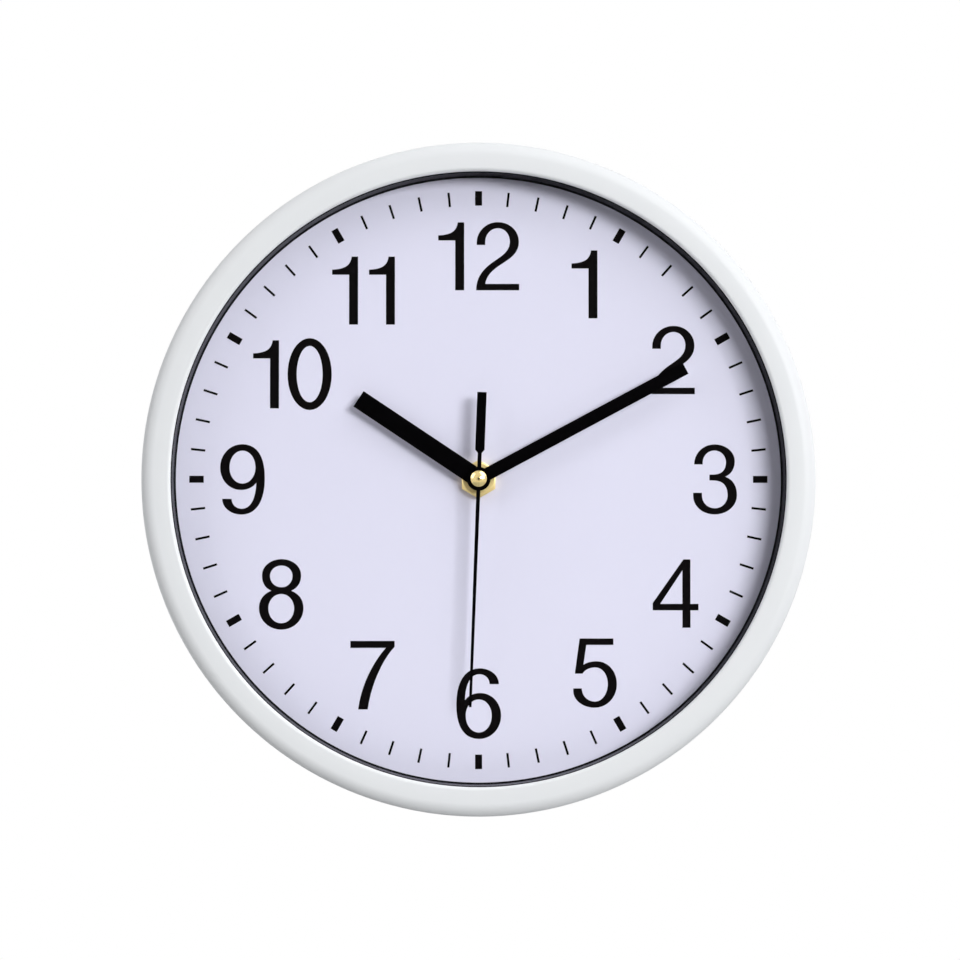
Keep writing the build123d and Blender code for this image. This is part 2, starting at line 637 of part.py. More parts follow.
def train_bridge():
    """The middle plate that carries the front pivots of the rotor and the step wheel."""
    low, high = LOW_POST_Y - LOW_POST_RADIUS, POST_Y + LOW_POST_RADIUS
    wide, narrow = LOW_POST_X + LOW_POST_RADIUS, POST_X + LOW_POST_RADIUS
    corners = [(-wide, low), (wide, low), (wide, 0), (narrow, high), (-narrow, high), (-wide, 0)]
    outline = Polygon(*corners, align=None)
    outline = fillet(outline.vertices(), LOW_POST_RADIUS)
    level = (BRIDGE_REAR, BRIDGE_FRONT)
    bridge = plate(outline, level)
    bridge -= disc(ARBOR_HOLE_RADIUS, level)
    bridge -= disc(BEARING_RADIUS + POST_EASE, level, THIRD_AT)
    bridge -= disc(KNOB_HOLE_RADIUS, level, KNOB_AT)
    for place in (STEP_AT, ROTOR_AT):
        bridge -= disc(PIVOT_HOLE_RADIUS, level, place)
    for side in (-1, 1):
        bridge -= disc(BRIDGE_SCREW_RADIUS, level, (side * POST_X, POST_Y))
    return bridge


def bridge_screws():
    screws = []
    for side in (-1, 1):
        place = (side * POST_X, POST_Y)
        shank = disc(BRIDGE_SCREW_RADIUS, (BRIDGE_FRONT - BRIDGE_SCREW_DEPTH, BRIDGE_FRONT), place)
        head = disc(BRIDGE_SCREW_HEAD_RADIUS, (BRIDGE_FRONT, BRIDGE_FRONT + BRIDGE_SCREW_HEAD), place)
        screws.append(shank + head)
    return Compound(children=screws)


# ---- Motor and electronics --------------------------------------------------------------------------


def stator():
    """A flat U of magnetic steel, its bar ringed round the rotor."""
    bar = block((-STATOR_HALF_LENGTH, STATOR_HALF_LENGTH), STATOR_BAR, STATOR_LEVEL)
    ring = disc(STATOR_RING_RADIUS, STATOR_LEVEL, ROTOR_AT)
    iron = bar + ring
    for side in (-1, 1):
        arm = sorted((side * STATOR_HALF_LENGTH, side * (STATOR_HALF_LENGTH - STATOR_ARM_WIDTH)))
        iron += block(arm, (STATOR_BAR[0], STATOR_TOP), STATOR_LEVEL)
        iron -= disc(POST_RADIUS + POST_EASE, STATOR_LEVEL, (side * POST_X, POST_Y))
    return iron - disc(STATOR_HOLE_RADIUS, STATOR_LEVEL, ROTOR_AT)


def coil_core():
    return block((-STATOR_HALF_LENGTH, STATOR_HALF_LENGTH),
                 (CORE_Y - CORE_HALF_WIDTH, CORE_Y + CORE_HALF_WIDTH), CORE_LEVEL)


def coil_bobbin():
    middle = sum(CORE_LEVEL) / 2
    half = BOBBIN_HALF_LENGTH
    bobbin = lying_rod(BOBBIN_RADIUS, (-half, half), CORE_Y, middle)
    bobbin += lying_rod(BOBBIN_FLANGE_RADIUS, (-half, -half + BOBBIN_FLANGE), CORE_Y, middle)
    bobbin += lying_rod(BOBBIN_FLANGE_RADIUS, (half - BOBBIN_FLANGE, half), CORE_Y, middle)
    return bobbin - coil_core()


def coil_winding():
    middle = sum(CORE_LEVEL) / 2
    across = (-BOBBIN_HALF_LENGTH + BOBBIN_FLANGE, BOBBIN_HALF_LENGTH - BOBBIN_FLANGE)
    wire = lying_rod(WINDING_RADIUS, across, CORE_Y, middle)
    return wire - lying_rod(BOBBIN_RADIUS, across, CORE_Y, middle)


def board_middle():
    return sum(BOARD_X) / 2


def circuit_board():
    return block(BOARD_X, BOARD_Y, BOARD_LEVEL)


def timing_chip():
    """The drop of black resin over the timing circuit."""
    top = BOARD_LEVEL[1]
    drop = disc(CHIP_RADIUS, (top, top + CHIP_HEIGHT), (board_middle(), CHIP_Y))
    return fillet(drop.edges().group_by(Axis.Z)[-1], CHIP_ROUND)


def quartz_crystal():
    lying = Pos(board_middle(), CRYSTAL_Y, BOARD_LEVEL[1] + CRYSTAL_RADIUS) * Rot(-90, 0, 0)
    can = lying * Cylinder(CRYSTAL_RADIUS, CRYSTAL_LENGTH, align=(Align.CENTER, Align.CENTER, Align.MIN))
    return fillet(can.edges().group_by(Axis.Y)[-1], CRYSTAL_ROUND)


def contact_blade(side):
    return block(contact_span(side), (CELL_Y - CONTACT_HALF_WIDTH, TRAY_TOP), (CONTACT_LOW, CONTACT_HIGH))


def positive_contact():
    """The blade at the cell's nub, with a strip along the tray wall to the circuit board."""
    wall_top = TRAY_TOP + MOVEMENT_WALL
    end = board_middle()
    blade = contact_blade(1) + block(contact_span(1), (TRAY_TOP, wall_top), (CONTACT_LOW, STRIP_HIGH))
    strip = block((end, INNER_HALF), (wall_top, wall_top + STRIP_THICKNESS), (STRIP_LOW, STRIP_HIGH))
    tab = block((end, end + POSITIVE_TAB_WIDTH), (wall_top, BOARD_Y[0] + POSITIVE_TAB_LAP),
                (BOARD_LEVEL[0] - STRIP_THICKNESS, BOARD_LEVEL[0]))
    return blade + strip + tab


def negative_contact():
    """The blade at the flat end of the cell, with a bowed leaf and a tab to the circuit board."""
    face = -INNER_HALF + CONTACT_THICKNESS
    low, high = CELL_Y - CONTACT_HALF_WIDTH, CELL_Y + CONTACT_HALF_WIDTH
    crest = face + LEAF_BOW
    inset = LEAF_THICKNESS
    front = ThreePointArc((face, low), (crest, CELL_Y), (face, high))
    back = ThreePointArc((face, high - inset), (crest - inset, CELL_Y), (face, low + inset))
    outline = front + Line(front @ 1, back @ 0) + back + Line(back @ 1, front @ 0)
    leaf = plate(make_face(outline), (CELL_Z - LEAF_HALF_HEIGHT, CELL_Z + LEAF_HALF_HEIGHT))
    tab = block(contact_span(-1), (TRAY_TOP, BOARD_Y[0] + NEGATIVE_TAB_LAP),
                (STRIP_HIGH, BOARD_LEVEL[1] + NEGATIVE_TAB_RISE))
    return contact_blade(-1) + leaf + tab


# ---- Cell -------------------------------------------------------------------------------------------


def cell_ends():
    flat_end = CELL_X - CELL_LENGTH
    shoulder = CELL_X - CELL_NUB_LENGTH
    return flat_end, shoulder


def battery_can():
    flat_end, shoulder = cell_ends()
    can = lying_rod(CELL_RADIUS - CELL_SLEEVE, (flat_end, shoulder), CELL_Y, CELL_Z)
    return can + lying_rod(CELL_NUB_RADIUS, (shoulder, CELL_X), CELL_Y, CELL_Z)


def battery_insulator():
    shoulder = cell_ends()[1]
    across = (shoulder, shoulder + CELL_INSULATOR)
    return (lying_rod(CELL_INSULATOR_RADIUS, across, CELL_Y, CELL_Z)
            - lying_rod(CELL_NUB_RADIUS, across, CELL_Y, CELL_Z))


def battery_sleeve():
    flat_end, shoulder = cell_ends()
    across = (flat_end + CELL_SLEEVE_INSET, shoulder)
    return (lying_rod(CELL_RADIUS, across, CELL_Y, CELL_Z)
            - lying_rod(CELL_RADIUS - CELL_SLEEVE, across, CELL_Y, CELL_Z))


# ---- Wheels -----------------------------------------------------------------------------------------


def rotor_magnet():
    return tube(MAGNET_RADIUS, SLEEVE_RADIUS, MAGNET_LEVEL, ROTOR_AT)


def rotor_pinion():
    arbor = disc(PIVOT_RADIUS, (ARBOR_REAR, BRIDGE_FRONT), ROTOR_AT)
    sleeve = disc(SLEEVE_RADIUS, (MAGNET_LEVEL[0], ROTOR_PINION_LEVEL[0]), ROTOR_AT)
    return arbor + sleeve + toothed(ROTOR_LEAVES, STEP_MODULE, ROTOR_PHASE, ROTOR_PINION_LEVEL, ROTOR_AT)


def step_wheel():
    arbor = disc(PIVOT_RADIUS, (ARBOR_REAR, BRIDGE_FRONT), STEP_AT)
    sleeve = disc(SLEEVE_RADIUS, (STEP_PINION_LEVEL[1], STEP_LEVEL[0]), STEP_AT)
    pinion = toothed(STEP_LEAVES, TRAIN_MODULE, STEP_PINION_PHASE, STEP_PINION_LEVEL, STEP_AT)
    return arbor + sleeve + pinion + toothed(STEP_TEETH, STEP_MODULE, STEP_PHASE, STEP_LEVEL, STEP_AT)


def second_wheel():
    arbor = disc(ARBOR_RADIUS, (ARBOR_REAR, SECOND_HAND_TOP))
    sleeve = disc(SLEEVE_RADIUS, (SECOND_LEVEL[1], SECOND_PINION_LEVEL[0]))
    pinion = toothed(SECOND_LEAVES, TRAIN_MODULE, SECOND_PINION_PHASE, SECOND_PINION_LEVEL, AXIS)
    return arbor + sleeve + pinion + toothed(SECOND_TEETH, TRAIN_MODULE, SECOND_PHASE, SECOND_LEVEL, AXIS)


def third_wheel():
    arbor = disc(ARBOR_RADIUS, (ARBOR_REAR, THIRD_POST_REAR + MOVEMENT_FACE), THIRD_AT)
    pinion = toothed(THIRD_LEAVES, CENTRE_MODULE, THIRD_PINION_PHASE, THIRD_PINION_LEVEL, THIRD_AT)
    return arbor + pinion + toothed(THIRD_TEETH, TRAIN_MODULE, THIRD_PHASE, THIRD_LEVEL, THIRD_AT)


def centre_wheel():
    wheel = toothed(CENTRE_TEETH, CENTRE_MODULE, CENTRE_PHASE, CENTRE_LEVEL, AXIS)
    wheel += disc(CENTRE_HUB_RADIUS, CENTRE_HUB_LEVEL)
    return wheel - disc(FRICTION_BORE_RADIUS, CENTRE_HUB_LEVEL)


def cannon_pinion():
    """The pipe of the minute hand, with its pinion and the sleeve that the centre wheel grips."""
    rear = CENTRE_HUB_LEVEL[0]
    pipe = disc(FRICTION_SLEEVE_RADIUS, (rear, CANNON_LEVEL[0]))
    pipe += toothed(CANNON_LEAVES, MINUTE_MODULE, CANNON_PHASE, CANNON_LEVEL, AXIS)
    pipe += disc(MINUTE_PIPE_RADIUS, (CANNON_LEVEL[1], MINUTE_PIPE_TOP))
    return pipe - disc(MINUTE_PIPE_BORE_RADIUS, (rear, MINUTE_PIPE_TOP))


def minute_wheel():
    wheel = toothed(MINUTE_TEETH, MINUTE_MODULE, MINUTE_PHASE, MINUTE_LEVEL, MINUTE_AT)
    wheel += toothed(MINUTE_LEAVES, HOUR_MODULE, MINUTE_PINION_PHASE, MINUTE_PINION_LEVEL, MINUTE_AT)
    return wheel - disc(STUD_BORE_RADIUS, (MINUTE_LEVEL[0], MINUTE_PINION_LEVEL[1]), MINUTE_AT)


def hour_wheel():
    wheel = toothed(HOUR_TEETH, HOUR_MODULE, HOUR_PHASE, HOUR_LEVEL, AXIS)
    wheel += disc(HOUR_HUB_RADIUS, HOUR_HUB_LEVEL)
    wheel += disc(HOUR_PIPE_RADIUS, (HOUR_HUB_LEVEL[1], HOUR_PIPE_TOP))
    return wheel - disc(HOUR_PIPE_BORE_RADIUS, (HOUR_HUB_LEVEL[0], HOUR_PIPE_TOP))


def setting_knob():
    """The fluted knob on the back, its stem and the pinion that turns the motion work."""
    head = disc(KNOB_HEAD_RADIUS, KNOB_HEAD_LEVEL, KNOB_AT)
    head = chamfer(head.edges().group_by(Axis.Z)[0], KNOB_FLUTE_RADIUS)
    for flute in range(KNOB_FLUTES):
        rim = at_angle(KNOB_AT, KNOB_HEAD_RADIUS, 360 * flute / KNOB_FLUTES)
        head -= disc(KNOB_FLUTE_RADIUS, KNOB_HEAD_LEVEL, rim)
    stem = disc(KNOB_STEM_RADIUS, (KNOB_HEAD_LEVEL[1], KNOB_STEM_TOP), KNOB_AT)
    return head + stem + toothed(KNOB_LEAVES, MINUTE_MODULE, KNOB_PHASE, KNOB_PINION_LEVEL, KNOB_AT)


# ---- Hands ------------------------------------------------------------------------------------------


def baton_hand(length, width, top, collet_radius, bore_radius, angle):
    """A square-ended hand with a round eye and a collet pressed on its pipe."""
    level = (top - HAND_THICKNESS, top)
    hand = disc(HAND_EYE_RADIUS, level) + block((-width / 2, width / 2), (0, length), level)
    collet = (top - COLLET_DEPTH, top)
    hand += disc(collet_radius, collet)
    return Rot(0, 0, -angle) * (hand - disc(bore_radius, collet))


def hour_hand():
    return baton_hand(HOUR_LENGTH, HOUR_WIDTH, HOUR_HAND_TOP, HOUR_COLLET_RADIUS,
                      HOUR_PIPE_RADIUS, HOUR_ANGLE)


def minute_hand():
    return baton_hand(MINUTE_LENGTH, MINUTE_WIDTH, MINUTE_HAND_TOP, MINUTE_COLLET_RADIUS,
                      MINUTE_PIPE_RADIUS, MINUTE_HAND_ANGLE)


def second_hand():
    """A tapered needle with a wider counterweight behind the axis."""
    root, tip, tail = SECOND_ROOT_WIDTH / 2, SECOND_TIP_WIDTH / 2, TAIL_WIDTH / 2
    neck = TAIL_START - TAIL_CHAMFER
    right = [(tail, -TAIL_LENGTH), (tail, -TAIL_START), (root, -neck), (root, 0), (tip, SECOND_LENGTH)]
    left = [(-x, y) for x, y in reversed(right)]
    outline = Polygon(*right, *left, align=None)
    level = (SECOND_HAND_TOP - SECOND_THICKNESS, SECOND_HAND_TOP)
    collet = (SECOND_HAND_TOP - COLLET_DEPTH, SECOND_HAND_TOP)
    hand = plate(outline, level) + disc(SECOND_EYE_RADIUS, level) + disc(SECOND_COLLET_RADIUS, collet)
    return Rot(0, 0, -SECOND_ANGLE) * (hand - disc(ARBOR_RADIUS, collet))


def second_hand_cap():
    """A low brass dome with a small centre mark, pressed over the end of the second arbor."""
    base = SECOND_HAND_TOP
    rise = CAP_HEIGHT
    ball_radius = (CAP_RADIUS ** 2 + rise ** 2) / (2 * rise)
    dome = Pos(0, 0, base + rise - ball_radius) * Sphere(ball_radius)
    cap = dome & disc(CAP_RADIUS, (base, base + rise))
    return cap - disc(CAP_MARK_RADIUS, (base + rise - CAP_MARK_DEPTH, base + rise))


# ---- Assembly ---------------------------------------------------------------------------------------
PIECES = [
    front_frame, lens, inner_ring, dial, dial_plate, back_case, case_screws, hanger_plate, hanger_rivets,
    rubber_washer, threaded_bush, brass_washer, hex_nut, movement_front_case, movement_rear_case,
    train_bridge, bridge_screws, stator, coil_core, coil_bobbin, coil_winding, circuit_board, timing_chip,
    quartz_crystal, positive_contact, negative_contact, battery_can, battery_insulator, battery_sleeve,
    rotor_magnet, rotor_pinion, step_wheel, second_wheel, third_wheel, centre_wheel, cannon_pinion,
    minute_wheel, hour_wheel, setting_knob, hour_hand, minute_hand, second_hand, second_hand_cap]


def stand_up(piece):
    return Rot(90, 0, 0) * piece


os.makedirs("parts", exist_ok=True)
for make in PIECES:
    export_step(stand_up(make()), f"parts/{make.__name__}.step")
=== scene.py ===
import json
from math import cos, pi, radians, sin

import bmesh
import bpy
from mathutils import Matrix, Vector


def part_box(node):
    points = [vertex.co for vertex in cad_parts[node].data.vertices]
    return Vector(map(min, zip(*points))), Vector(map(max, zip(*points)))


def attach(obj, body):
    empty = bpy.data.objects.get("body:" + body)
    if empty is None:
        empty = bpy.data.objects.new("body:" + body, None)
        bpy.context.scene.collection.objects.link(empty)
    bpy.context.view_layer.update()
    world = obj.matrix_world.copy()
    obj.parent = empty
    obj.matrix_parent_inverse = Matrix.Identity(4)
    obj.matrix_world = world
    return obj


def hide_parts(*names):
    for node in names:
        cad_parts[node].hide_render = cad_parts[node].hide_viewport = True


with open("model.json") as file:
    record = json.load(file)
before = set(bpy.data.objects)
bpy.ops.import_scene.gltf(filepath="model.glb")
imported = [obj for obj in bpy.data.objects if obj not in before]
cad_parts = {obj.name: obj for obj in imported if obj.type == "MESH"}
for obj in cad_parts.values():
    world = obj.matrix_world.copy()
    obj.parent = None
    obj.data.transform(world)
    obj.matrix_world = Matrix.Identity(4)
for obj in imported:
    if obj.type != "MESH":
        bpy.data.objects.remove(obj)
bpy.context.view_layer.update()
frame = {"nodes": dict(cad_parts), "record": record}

# A wall clock: the finishes and the printed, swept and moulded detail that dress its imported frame.
# The dial faces -Y, twelve o'clock is +Z and three o'clock +X; lengths are metres unless named _MM.

MM = 0.001
NODES = frame["nodes"]
STAND_UP = Matrix.Rotation(pi / 2, 4, "X")

# ---- Sizes read from the frame ----------------------------------------------------------------------


def reach(node):
    """How far a round node reaches from the hands' axis."""
    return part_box(node)[1].x


def levels(node):
    """How far from the wall a node starts and ends."""
    low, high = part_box(node)
    return -high.y, -low.y


CASE_RADIUS = reach("front_frame")
CASE_DEPTH = levels("front_frame")[1]
LENS_BACK, LENS_FRONT = levels("lens")
DIAL_FACE = levels("dial")[1]

# ---- Sizes of the front frame and the black ring ----------------------------------------------------
FLANGE_FRONT = 4.2 * MM
FRAME_DRAFT = 0.8 * MM
FRAME_ROUND = 4.99 * MM
FRAME_WALL = 2.2 * MM
LIP_RADIUS = 113.95 * MM
LIP_ROUND = 1.3 * MM
RIB_INSIDE = 116.4 * MM
RIB_OUTSIDE = 118.0 * MM
RIB_DEPTH = 5.2 * MM
REAR_BORE = 122.6 * MM
LEDGE_RADIUS = 121.4 * MM
BOSS_CIRCLE = 119.2 * MM
BOSS_RADIUS = 3.1 * MM
BOSS_BORE = 1.25 * MM
BOSS_BORE_DEPTH = 12 * MM
BOSS_TOP = 36 * MM
RING_FOOT = 113.0 * MM
RING_STEP = 0.4 * MM
RING_TOP = 113.75 * MM
RING_WALL = 1.3 * MM
RING_FLANGE = 1.0 * MM
RING_OUTER = 116.0 * MM
RING_EASE = 0.15 * MM
SWEEP_STEPS = 360
ARC_STEPS = 10
BOSS_COUNT = 4
BOSS_SIDES = 32
CREASE = radians(28)
WELD_DISTANCE = 0.0005 * MM

# ---- Sizes of the print on the dial -----------------------------------------------------------------
TRACK_MARKS = 60
MARKS_PER_HOUR = 5
TRACK_RADIUS = 105.3 * MM
MARK_LENGTH = 5.4 * MM
HOUR_MARK_WIDTH = 2.6 * MM
MINUTE_MARK_WIDTH = 0.85 * MM
INK_THICKNESS = 0.04 * MM
FIGURE_CURVE_STEPS = 10
BEND = 0.56                 # how far a quarter bend's handles reach along it

# The outlines of the figures, in millimetres from a figure's left edge and the line it stands on.
# A step of two numbers is a straight line to that point. "x" is a quarter bend that leaves across,
# "y" one that leaves upright. Six numbers are a free curve: two handles and its end.
FIGURE_OUTLINES_MM = {
    "0": [
        [(0, 12.75), ("y", 8.3, 26.3), ("x", 16.5, 12.75), ("y", 8.3, -0.6), ("x", 0, 12.75)],
        [(3.4, 12.75), ("y", 8.3, 2.3), ("x", 13.1, 12.75), ("y", 8.3, 23.4), ("x", 3.4, 12.75)],
    ],
    "1": [
        [(0, 18.7), (0, 20.6), (4.4, 20.8, 6.9, 21.9, 7.3, 25.5), (9.7, 25.5), (9.7, 0), (6.35, 0),
         (6.35, 18.7)],
    ],
    "2": [
        [(0.2, 17.0), (0.2, 17.9), ("y", 8.2, 25.6), ("x", 16.0, 18.2),
         (16.0, 13.8, 12.5, 11.8, 9.3, 9.7), (6.4, 7.8, 3.9, 5.7, 3.4, 2.4),
         (16.1, 2.4), (16.1, 0), (0, 0),
         (0, 5.3, 2.9, 8.3, 7.0, 11.1), (10.4, 13.4, 12.6, 15.0, 12.6, 18.3),
         ("y", 8.2, 23.3), ("x", 3.4, 18.2), (3.4, 17.0)],
    ],
    "3": [
        [(0.4, 18.4), ("y", 8.0, 25.9), ("x", 15.6, 19.7), (15.6, 16.9, 14.3, 14.7, 12.0, 13.8),
         (15.0, 12.8, 16.4, 10.2, 16.4, 6.9), ("y", 8.0, -0.3), ("x", 0, 6.6), (0, 7.8), (3.3, 7.8),
         (3.3, 6.8), ("y", 8.1, 2.0), ("x", 12.9, 6.9), (12.9, 10.6, 10.9, 12.4, 7.5, 12.4),
         (6.1, 12.4), (6.1, 14.6), (7.5, 14.6), (10.2, 14.6, 12.3, 15.9, 12.3, 19.2),
         ("y", 8.0, 23.6), ("x", 3.6, 19.0), (3.6, 18.4)],
    ],
    "4": [
        [(11.5, 25.5), (0, 9.2), (0, 6.5), (11.1, 6.5), (11.1, 0), (14.1, 0), (14.1, 6.5), (17.1, 6.5),
         (17.1, 8.9), (14.1, 8.9), (14.1, 25.5)],
        [(11.1, 8.9), (2.8, 8.9), (11.1, 21.4)],
    ],
    "5": [
        [(2.4, 25.5), (15.0, 25.5), (15.0, 23.1), (4.9, 23.1), (3.8, 15.7),
         (5.0, 16.5, 6.7, 17.0, 8.8, 17.0), ("x", 16.3, 8.6), ("y", 8.0, -0.3), ("x", 0, 6.0), (0, 6.9),
         (3.2, 6.9), ("y", 8.1, 2.0), ("x", 12.9, 8.6), ("y", 8.3, 14.7),
         (6.1, 14.7, 4.4, 13.9, 3.5, 12.4), (0.6, 12.4)],
    ],
    "6": [
        [(15.9, 20.0), (12.4, 20.0), ("y", 8.6, 23.7), (5.2, 23.7, 3.4, 19.9, 3.2, 14.0),
         (4.4, 15.7, 6.4, 16.7, 9.0, 16.7), ("x", 16.7, 8.3), ("y", 8.5, -0.4),
         (3.0, -0.4, 0, 3.9, 0, 12.4), (0, 20.9, 3.2, 25.9, 8.7, 25.9), ("x", 15.9, 20.0)],
        [(3.5, 8.3), ("y", 8.4, 14.3), ("x", 13.2, 8.3), ("y", 8.4, 2.0), ("x", 3.5, 8.3)],
    ],
    "7": [
        [(0, 25.5), (16.5, 25.5), (16.5, 23.3), (12.4, 19.1, 7.8, 9.8, 6.5, 0), (2.9, 0),
         (4.1, 9.3, 8.5, 17.6, 13.2, 22.9), (0, 22.9)],
    ],
    "8": [
        [(8.4, 25.9), ("x", 15.7, 19.9), (15.7, 17.1, 14.4, 15.1, 12.0, 14.1),
         (14.9, 13.0, 16.6, 10.8, 16.6, 7.6), ("y", 8.3, -0.4), ("x", 0, 7.6),
         (0, 10.8, 1.7, 13.0, 4.6, 14.1), (2.2, 15.1, 1.1, 17.1, 1.1, 19.9), ("y", 8.4, 25.9)],
        [(4.1, 19.6), ("y", 8.4, 23.5), ("x", 12.5, 19.6), ("y", 8.4, 15.4), ("x", 4.1, 19.6)],
        [(3.5, 7.5), ("y", 8.3, 12.9), ("x", 13.1, 7.5), ("y", 8.3, 2.0), ("x", 3.5, 7.5)],
    ],
}
NINE_TURNS_ABOUT_MM = (8.35, 12.75)     # the nine is the six turned half round
FIGURE_PLACES_MM = [
    ("1", -15.1, 70.8), ("2", -0.9, 70.8), ("1", 34.8, 60.3), ("2", 64.8, 31.9), ("3", 80.2, -12.8),
    ("4", 65.0, -55.4), ("5", 35.3, -84.9), ("6", -8.3, -96.4), ("7", -47.8, -85.8), ("8", -81.9, -55.7),
    ("9", -96.5, -12.8), ("1", -84.3, 26.5), ("0", -71.4, 26.5), ("1", -54.8, 57.9), ("1", -41.0, 57.9),
]

# ---- Sizes that the finishes follow -----------------------------------------------------------------
CAP_REACH = 3.3 * MM        # the polished hand cap lies inside this, the turned nut outside it
TURNING_PITCH = 0.32 * MM
WIRE_PITCH = 0.24 * MM
TRACK_PITCH = 2.4 * MM      # copper tracks on the circuit board
TRACK_GAP = 0.8             # the share of a pitch that is bare board
SLEEVE_LINE = 10.9 * MM     # where the cell sleeve's pale line starts, and then its band
SLEEVE_BAND = 11.5 * MM

# ---- Nodes ------------------------------------------------------------------------------------------
FLOAT_A, FLOAT_B = 2, 3     # a Mix node has a pair of sockets for each kind of value
COLOUR_A, COLOUR_B, COLOUR_OUT = 6, 7, 2


def add_node(tree, kind, settings, values):
    """Adds a node: its type, its settings, then the values or links of its sockets."""
    made = tree.nodes.new(kind)
    for name, value in (settings or {}).items():
        setattr(made, name, value)
    for name, value in (values or {}).items():
        if isinstance(value, bpy.types.NodeSocket):
            tree.links.new(value, made.inputs[name])
        else:
            made.inputs[name].default_value = value
    return made


def add_end(tree, kind, result):
    """Ends a tree in this output node."""
    add_node(tree, kind, None, {0: result})


# ---- Finishes ---------------------------------------------------------------------------------------


class Reading:
    """A value that varies over a surface. Arithmetic on it adds Math nodes to its finish."""

    def __init__(self, finish, socket):
        self.finish = finish
        self.socket = socket

    def math(self, operation, *values):
        return self.finish.node("ShaderNodeMath", {"operation": operation}, dict(enumerate(values)))

    def __add__(self, other):
        return self.math("ADD", self, other)

    __radd__ = __add__

    def __sub__(self, other):
        return self.math("SUBTRACT", self, other)

    def __rsub__(self, other):
        return self.math("SUBTRACT", other, self)

    def __mul__(self, other):
        return self.math("MULTIPLY", self, other)

    __rmul__ = __mul__

    def __truediv__(self, other):
        return self.math("DIVIDE", self, other)

    def __pow__(self, other):
        return self.math("POWER", self, other)

    def __gt__(self, other):
        return self.math("GREATER_THAN", self, other)

    def wave(self):
        """A ripple between 0 and 1 along this value, one for each whole step of it."""
        return self.math("SINE", self * (2 * pi)) * 0.5 + 0.5

    def length_with(self, other):
        return self.math("SQRT", self * self + other * other)


class Finish:
    """A material and the nodes that make it."""

    def __init__(self, name):
        self.material = bpy.data.materials.new(name)
        self.material.use_nodes = True
        self.tree = self.material.node_tree
        self.tree.nodes.clear()

    def node(self, kind, settings=None, values=None, output=0):
        plain = {name: value.socket if isinstance(value, Reading) else value
                 for name, value in (values or {}).items()}
        return Reading(self, add_node(self.tree, kind, settings, plain).outputs[output])

    def place(self):
        return self.node("ShaderNodeTexCoord", output="Object")

    def along(self, axis):
        """The distance along X, Y or Z from the hands' axis in the plane of the wall."""
        return self.node("ShaderNodeSeparateXYZ", values={0: self.place()}, output=axis)

    def from_axis(self):
        """The distance from the hands' axis."""
        return self.along("X").length_with(self.along("Z"))

    def stretched(self, scale):
        return self.node("ShaderNodeMapping", values={"Vector": self.place(), "Scale": scale})

    def noise(self, size, detail=2, stretch=None):
        """Cloudy noise between 0 and 1 with features of about this size."""
        place = self.stretched(stretch) if stretch else self.place()
        return self.node("ShaderNodeTexNoise",
                         values={"Vector": place, "Scale": 1 / size, "Detail": detail})

    def cells(self, size):
        """Random grey cells of about this size."""
        colour = self.node("ShaderNodeTexVoronoi", values={"Vector": self.place(), "Scale": 1 / size},
                           output="Color")
        return self.node("ShaderNodeRGBToBW", values={"Color": colour})

    def between(self, share, first, second):
        """The colour that is this share of the way from the first colour to the second."""
        values = {"Factor": share, COLOUR_A: colour_of(first), COLOUR_B: colour_of(second)}
        return self.node("ShaderNodeMix", {"data_type": "RGBA"}, values, output=COLOUR_OUT)

    def relief(self, height, depth, under=None):
        """The normal of a surface whose relief is this deep."""
        values = {"Height": height, "Distance": depth, "Strength": 1.0}
        if under:
            values["Normal"] = under
        return self.node("ShaderNodeBump", values=values)

    def solid(self, **sockets):
        """Finishes with one shader. A socket's name is written with _ for its spaces."""
        values = {name.replace("_", " "): value for name, value in sockets.items()}
        self.out(self.node("ShaderNodeBsdfPrincipled", values=values))
        return self.material

    def out(self, shader):
        add_end(self.tree, "ShaderNodeOutputMaterial", shader.socket)


def colour_of(value):
    """A colour for a socket, whether it is plain or varies."""
    return value if isinstance(value, Reading) else (*value, 1)


def shaded(colour, factor):
    """The colour, darkened by this factor."""
    return tuple(part * factor for part in colour)


# ---- Plastics ---------------------------------------------------------------------------------------


def moulded(name, colour, roughness, texture=0.25 * MM, depth=0.01 * MM, mottle=0.03):
    """Moulded plastic: a fine texture from the tool and a faint flow mottle."""
    finish = Finish(name)
    flow = finish.noise(30 * MM, 3)
    grain = finish.noise(texture, 3)
    return finish.solid(
        Base_Color=finish.between(flow, shaded(colour, 1 - mottle), colour),
        Roughness=roughness + 0.06 * (grain - 0.5) + 0.05 * (flow - 0.5),
        Normal=finish.relief(grain, depth, finish.relief(flow, 0.05 * MM)))


def satin_white():
    """The front frame: satin white, with the faint waviness of a large moulding."""
    finish = Finish("satin_white")
    flow = finish.noise(22 * MM, 2)
    grain = finish.noise(0.35 * MM, 2)
    return finish.solid(
        Base_Color=finish.between(flow, (0.735, 0.755, 0.775), (0.76, 0.778, 0.795)),
        Specular_IOR_Level=0.35,
        Roughness=0.46 + 0.05 * (grain - 0.5) + 0.05 * (flow - 0.5),
        Normal=finish.relief(grain, 0.004 * MM, finish.relief(flow, 0.04 * MM)))


def black_gloss():
    """The ring between the dial and the lens."""
    finish = Finish("black_gloss")
    flow = finish.noise(12 * MM, 2)
    grain = finish.noise(0.3 * MM, 2)
    return finish.solid(
        Base_Color=finish.between(flow, (0.010, 0.010, 0.012), (0.014, 0.014, 0.017)),
        Specular_IOR_Level=0.006,
        Roughness=0.12 + 0.05 * (flow - 0.5),
        Normal=finish.relief(grain, 0.004 * MM))


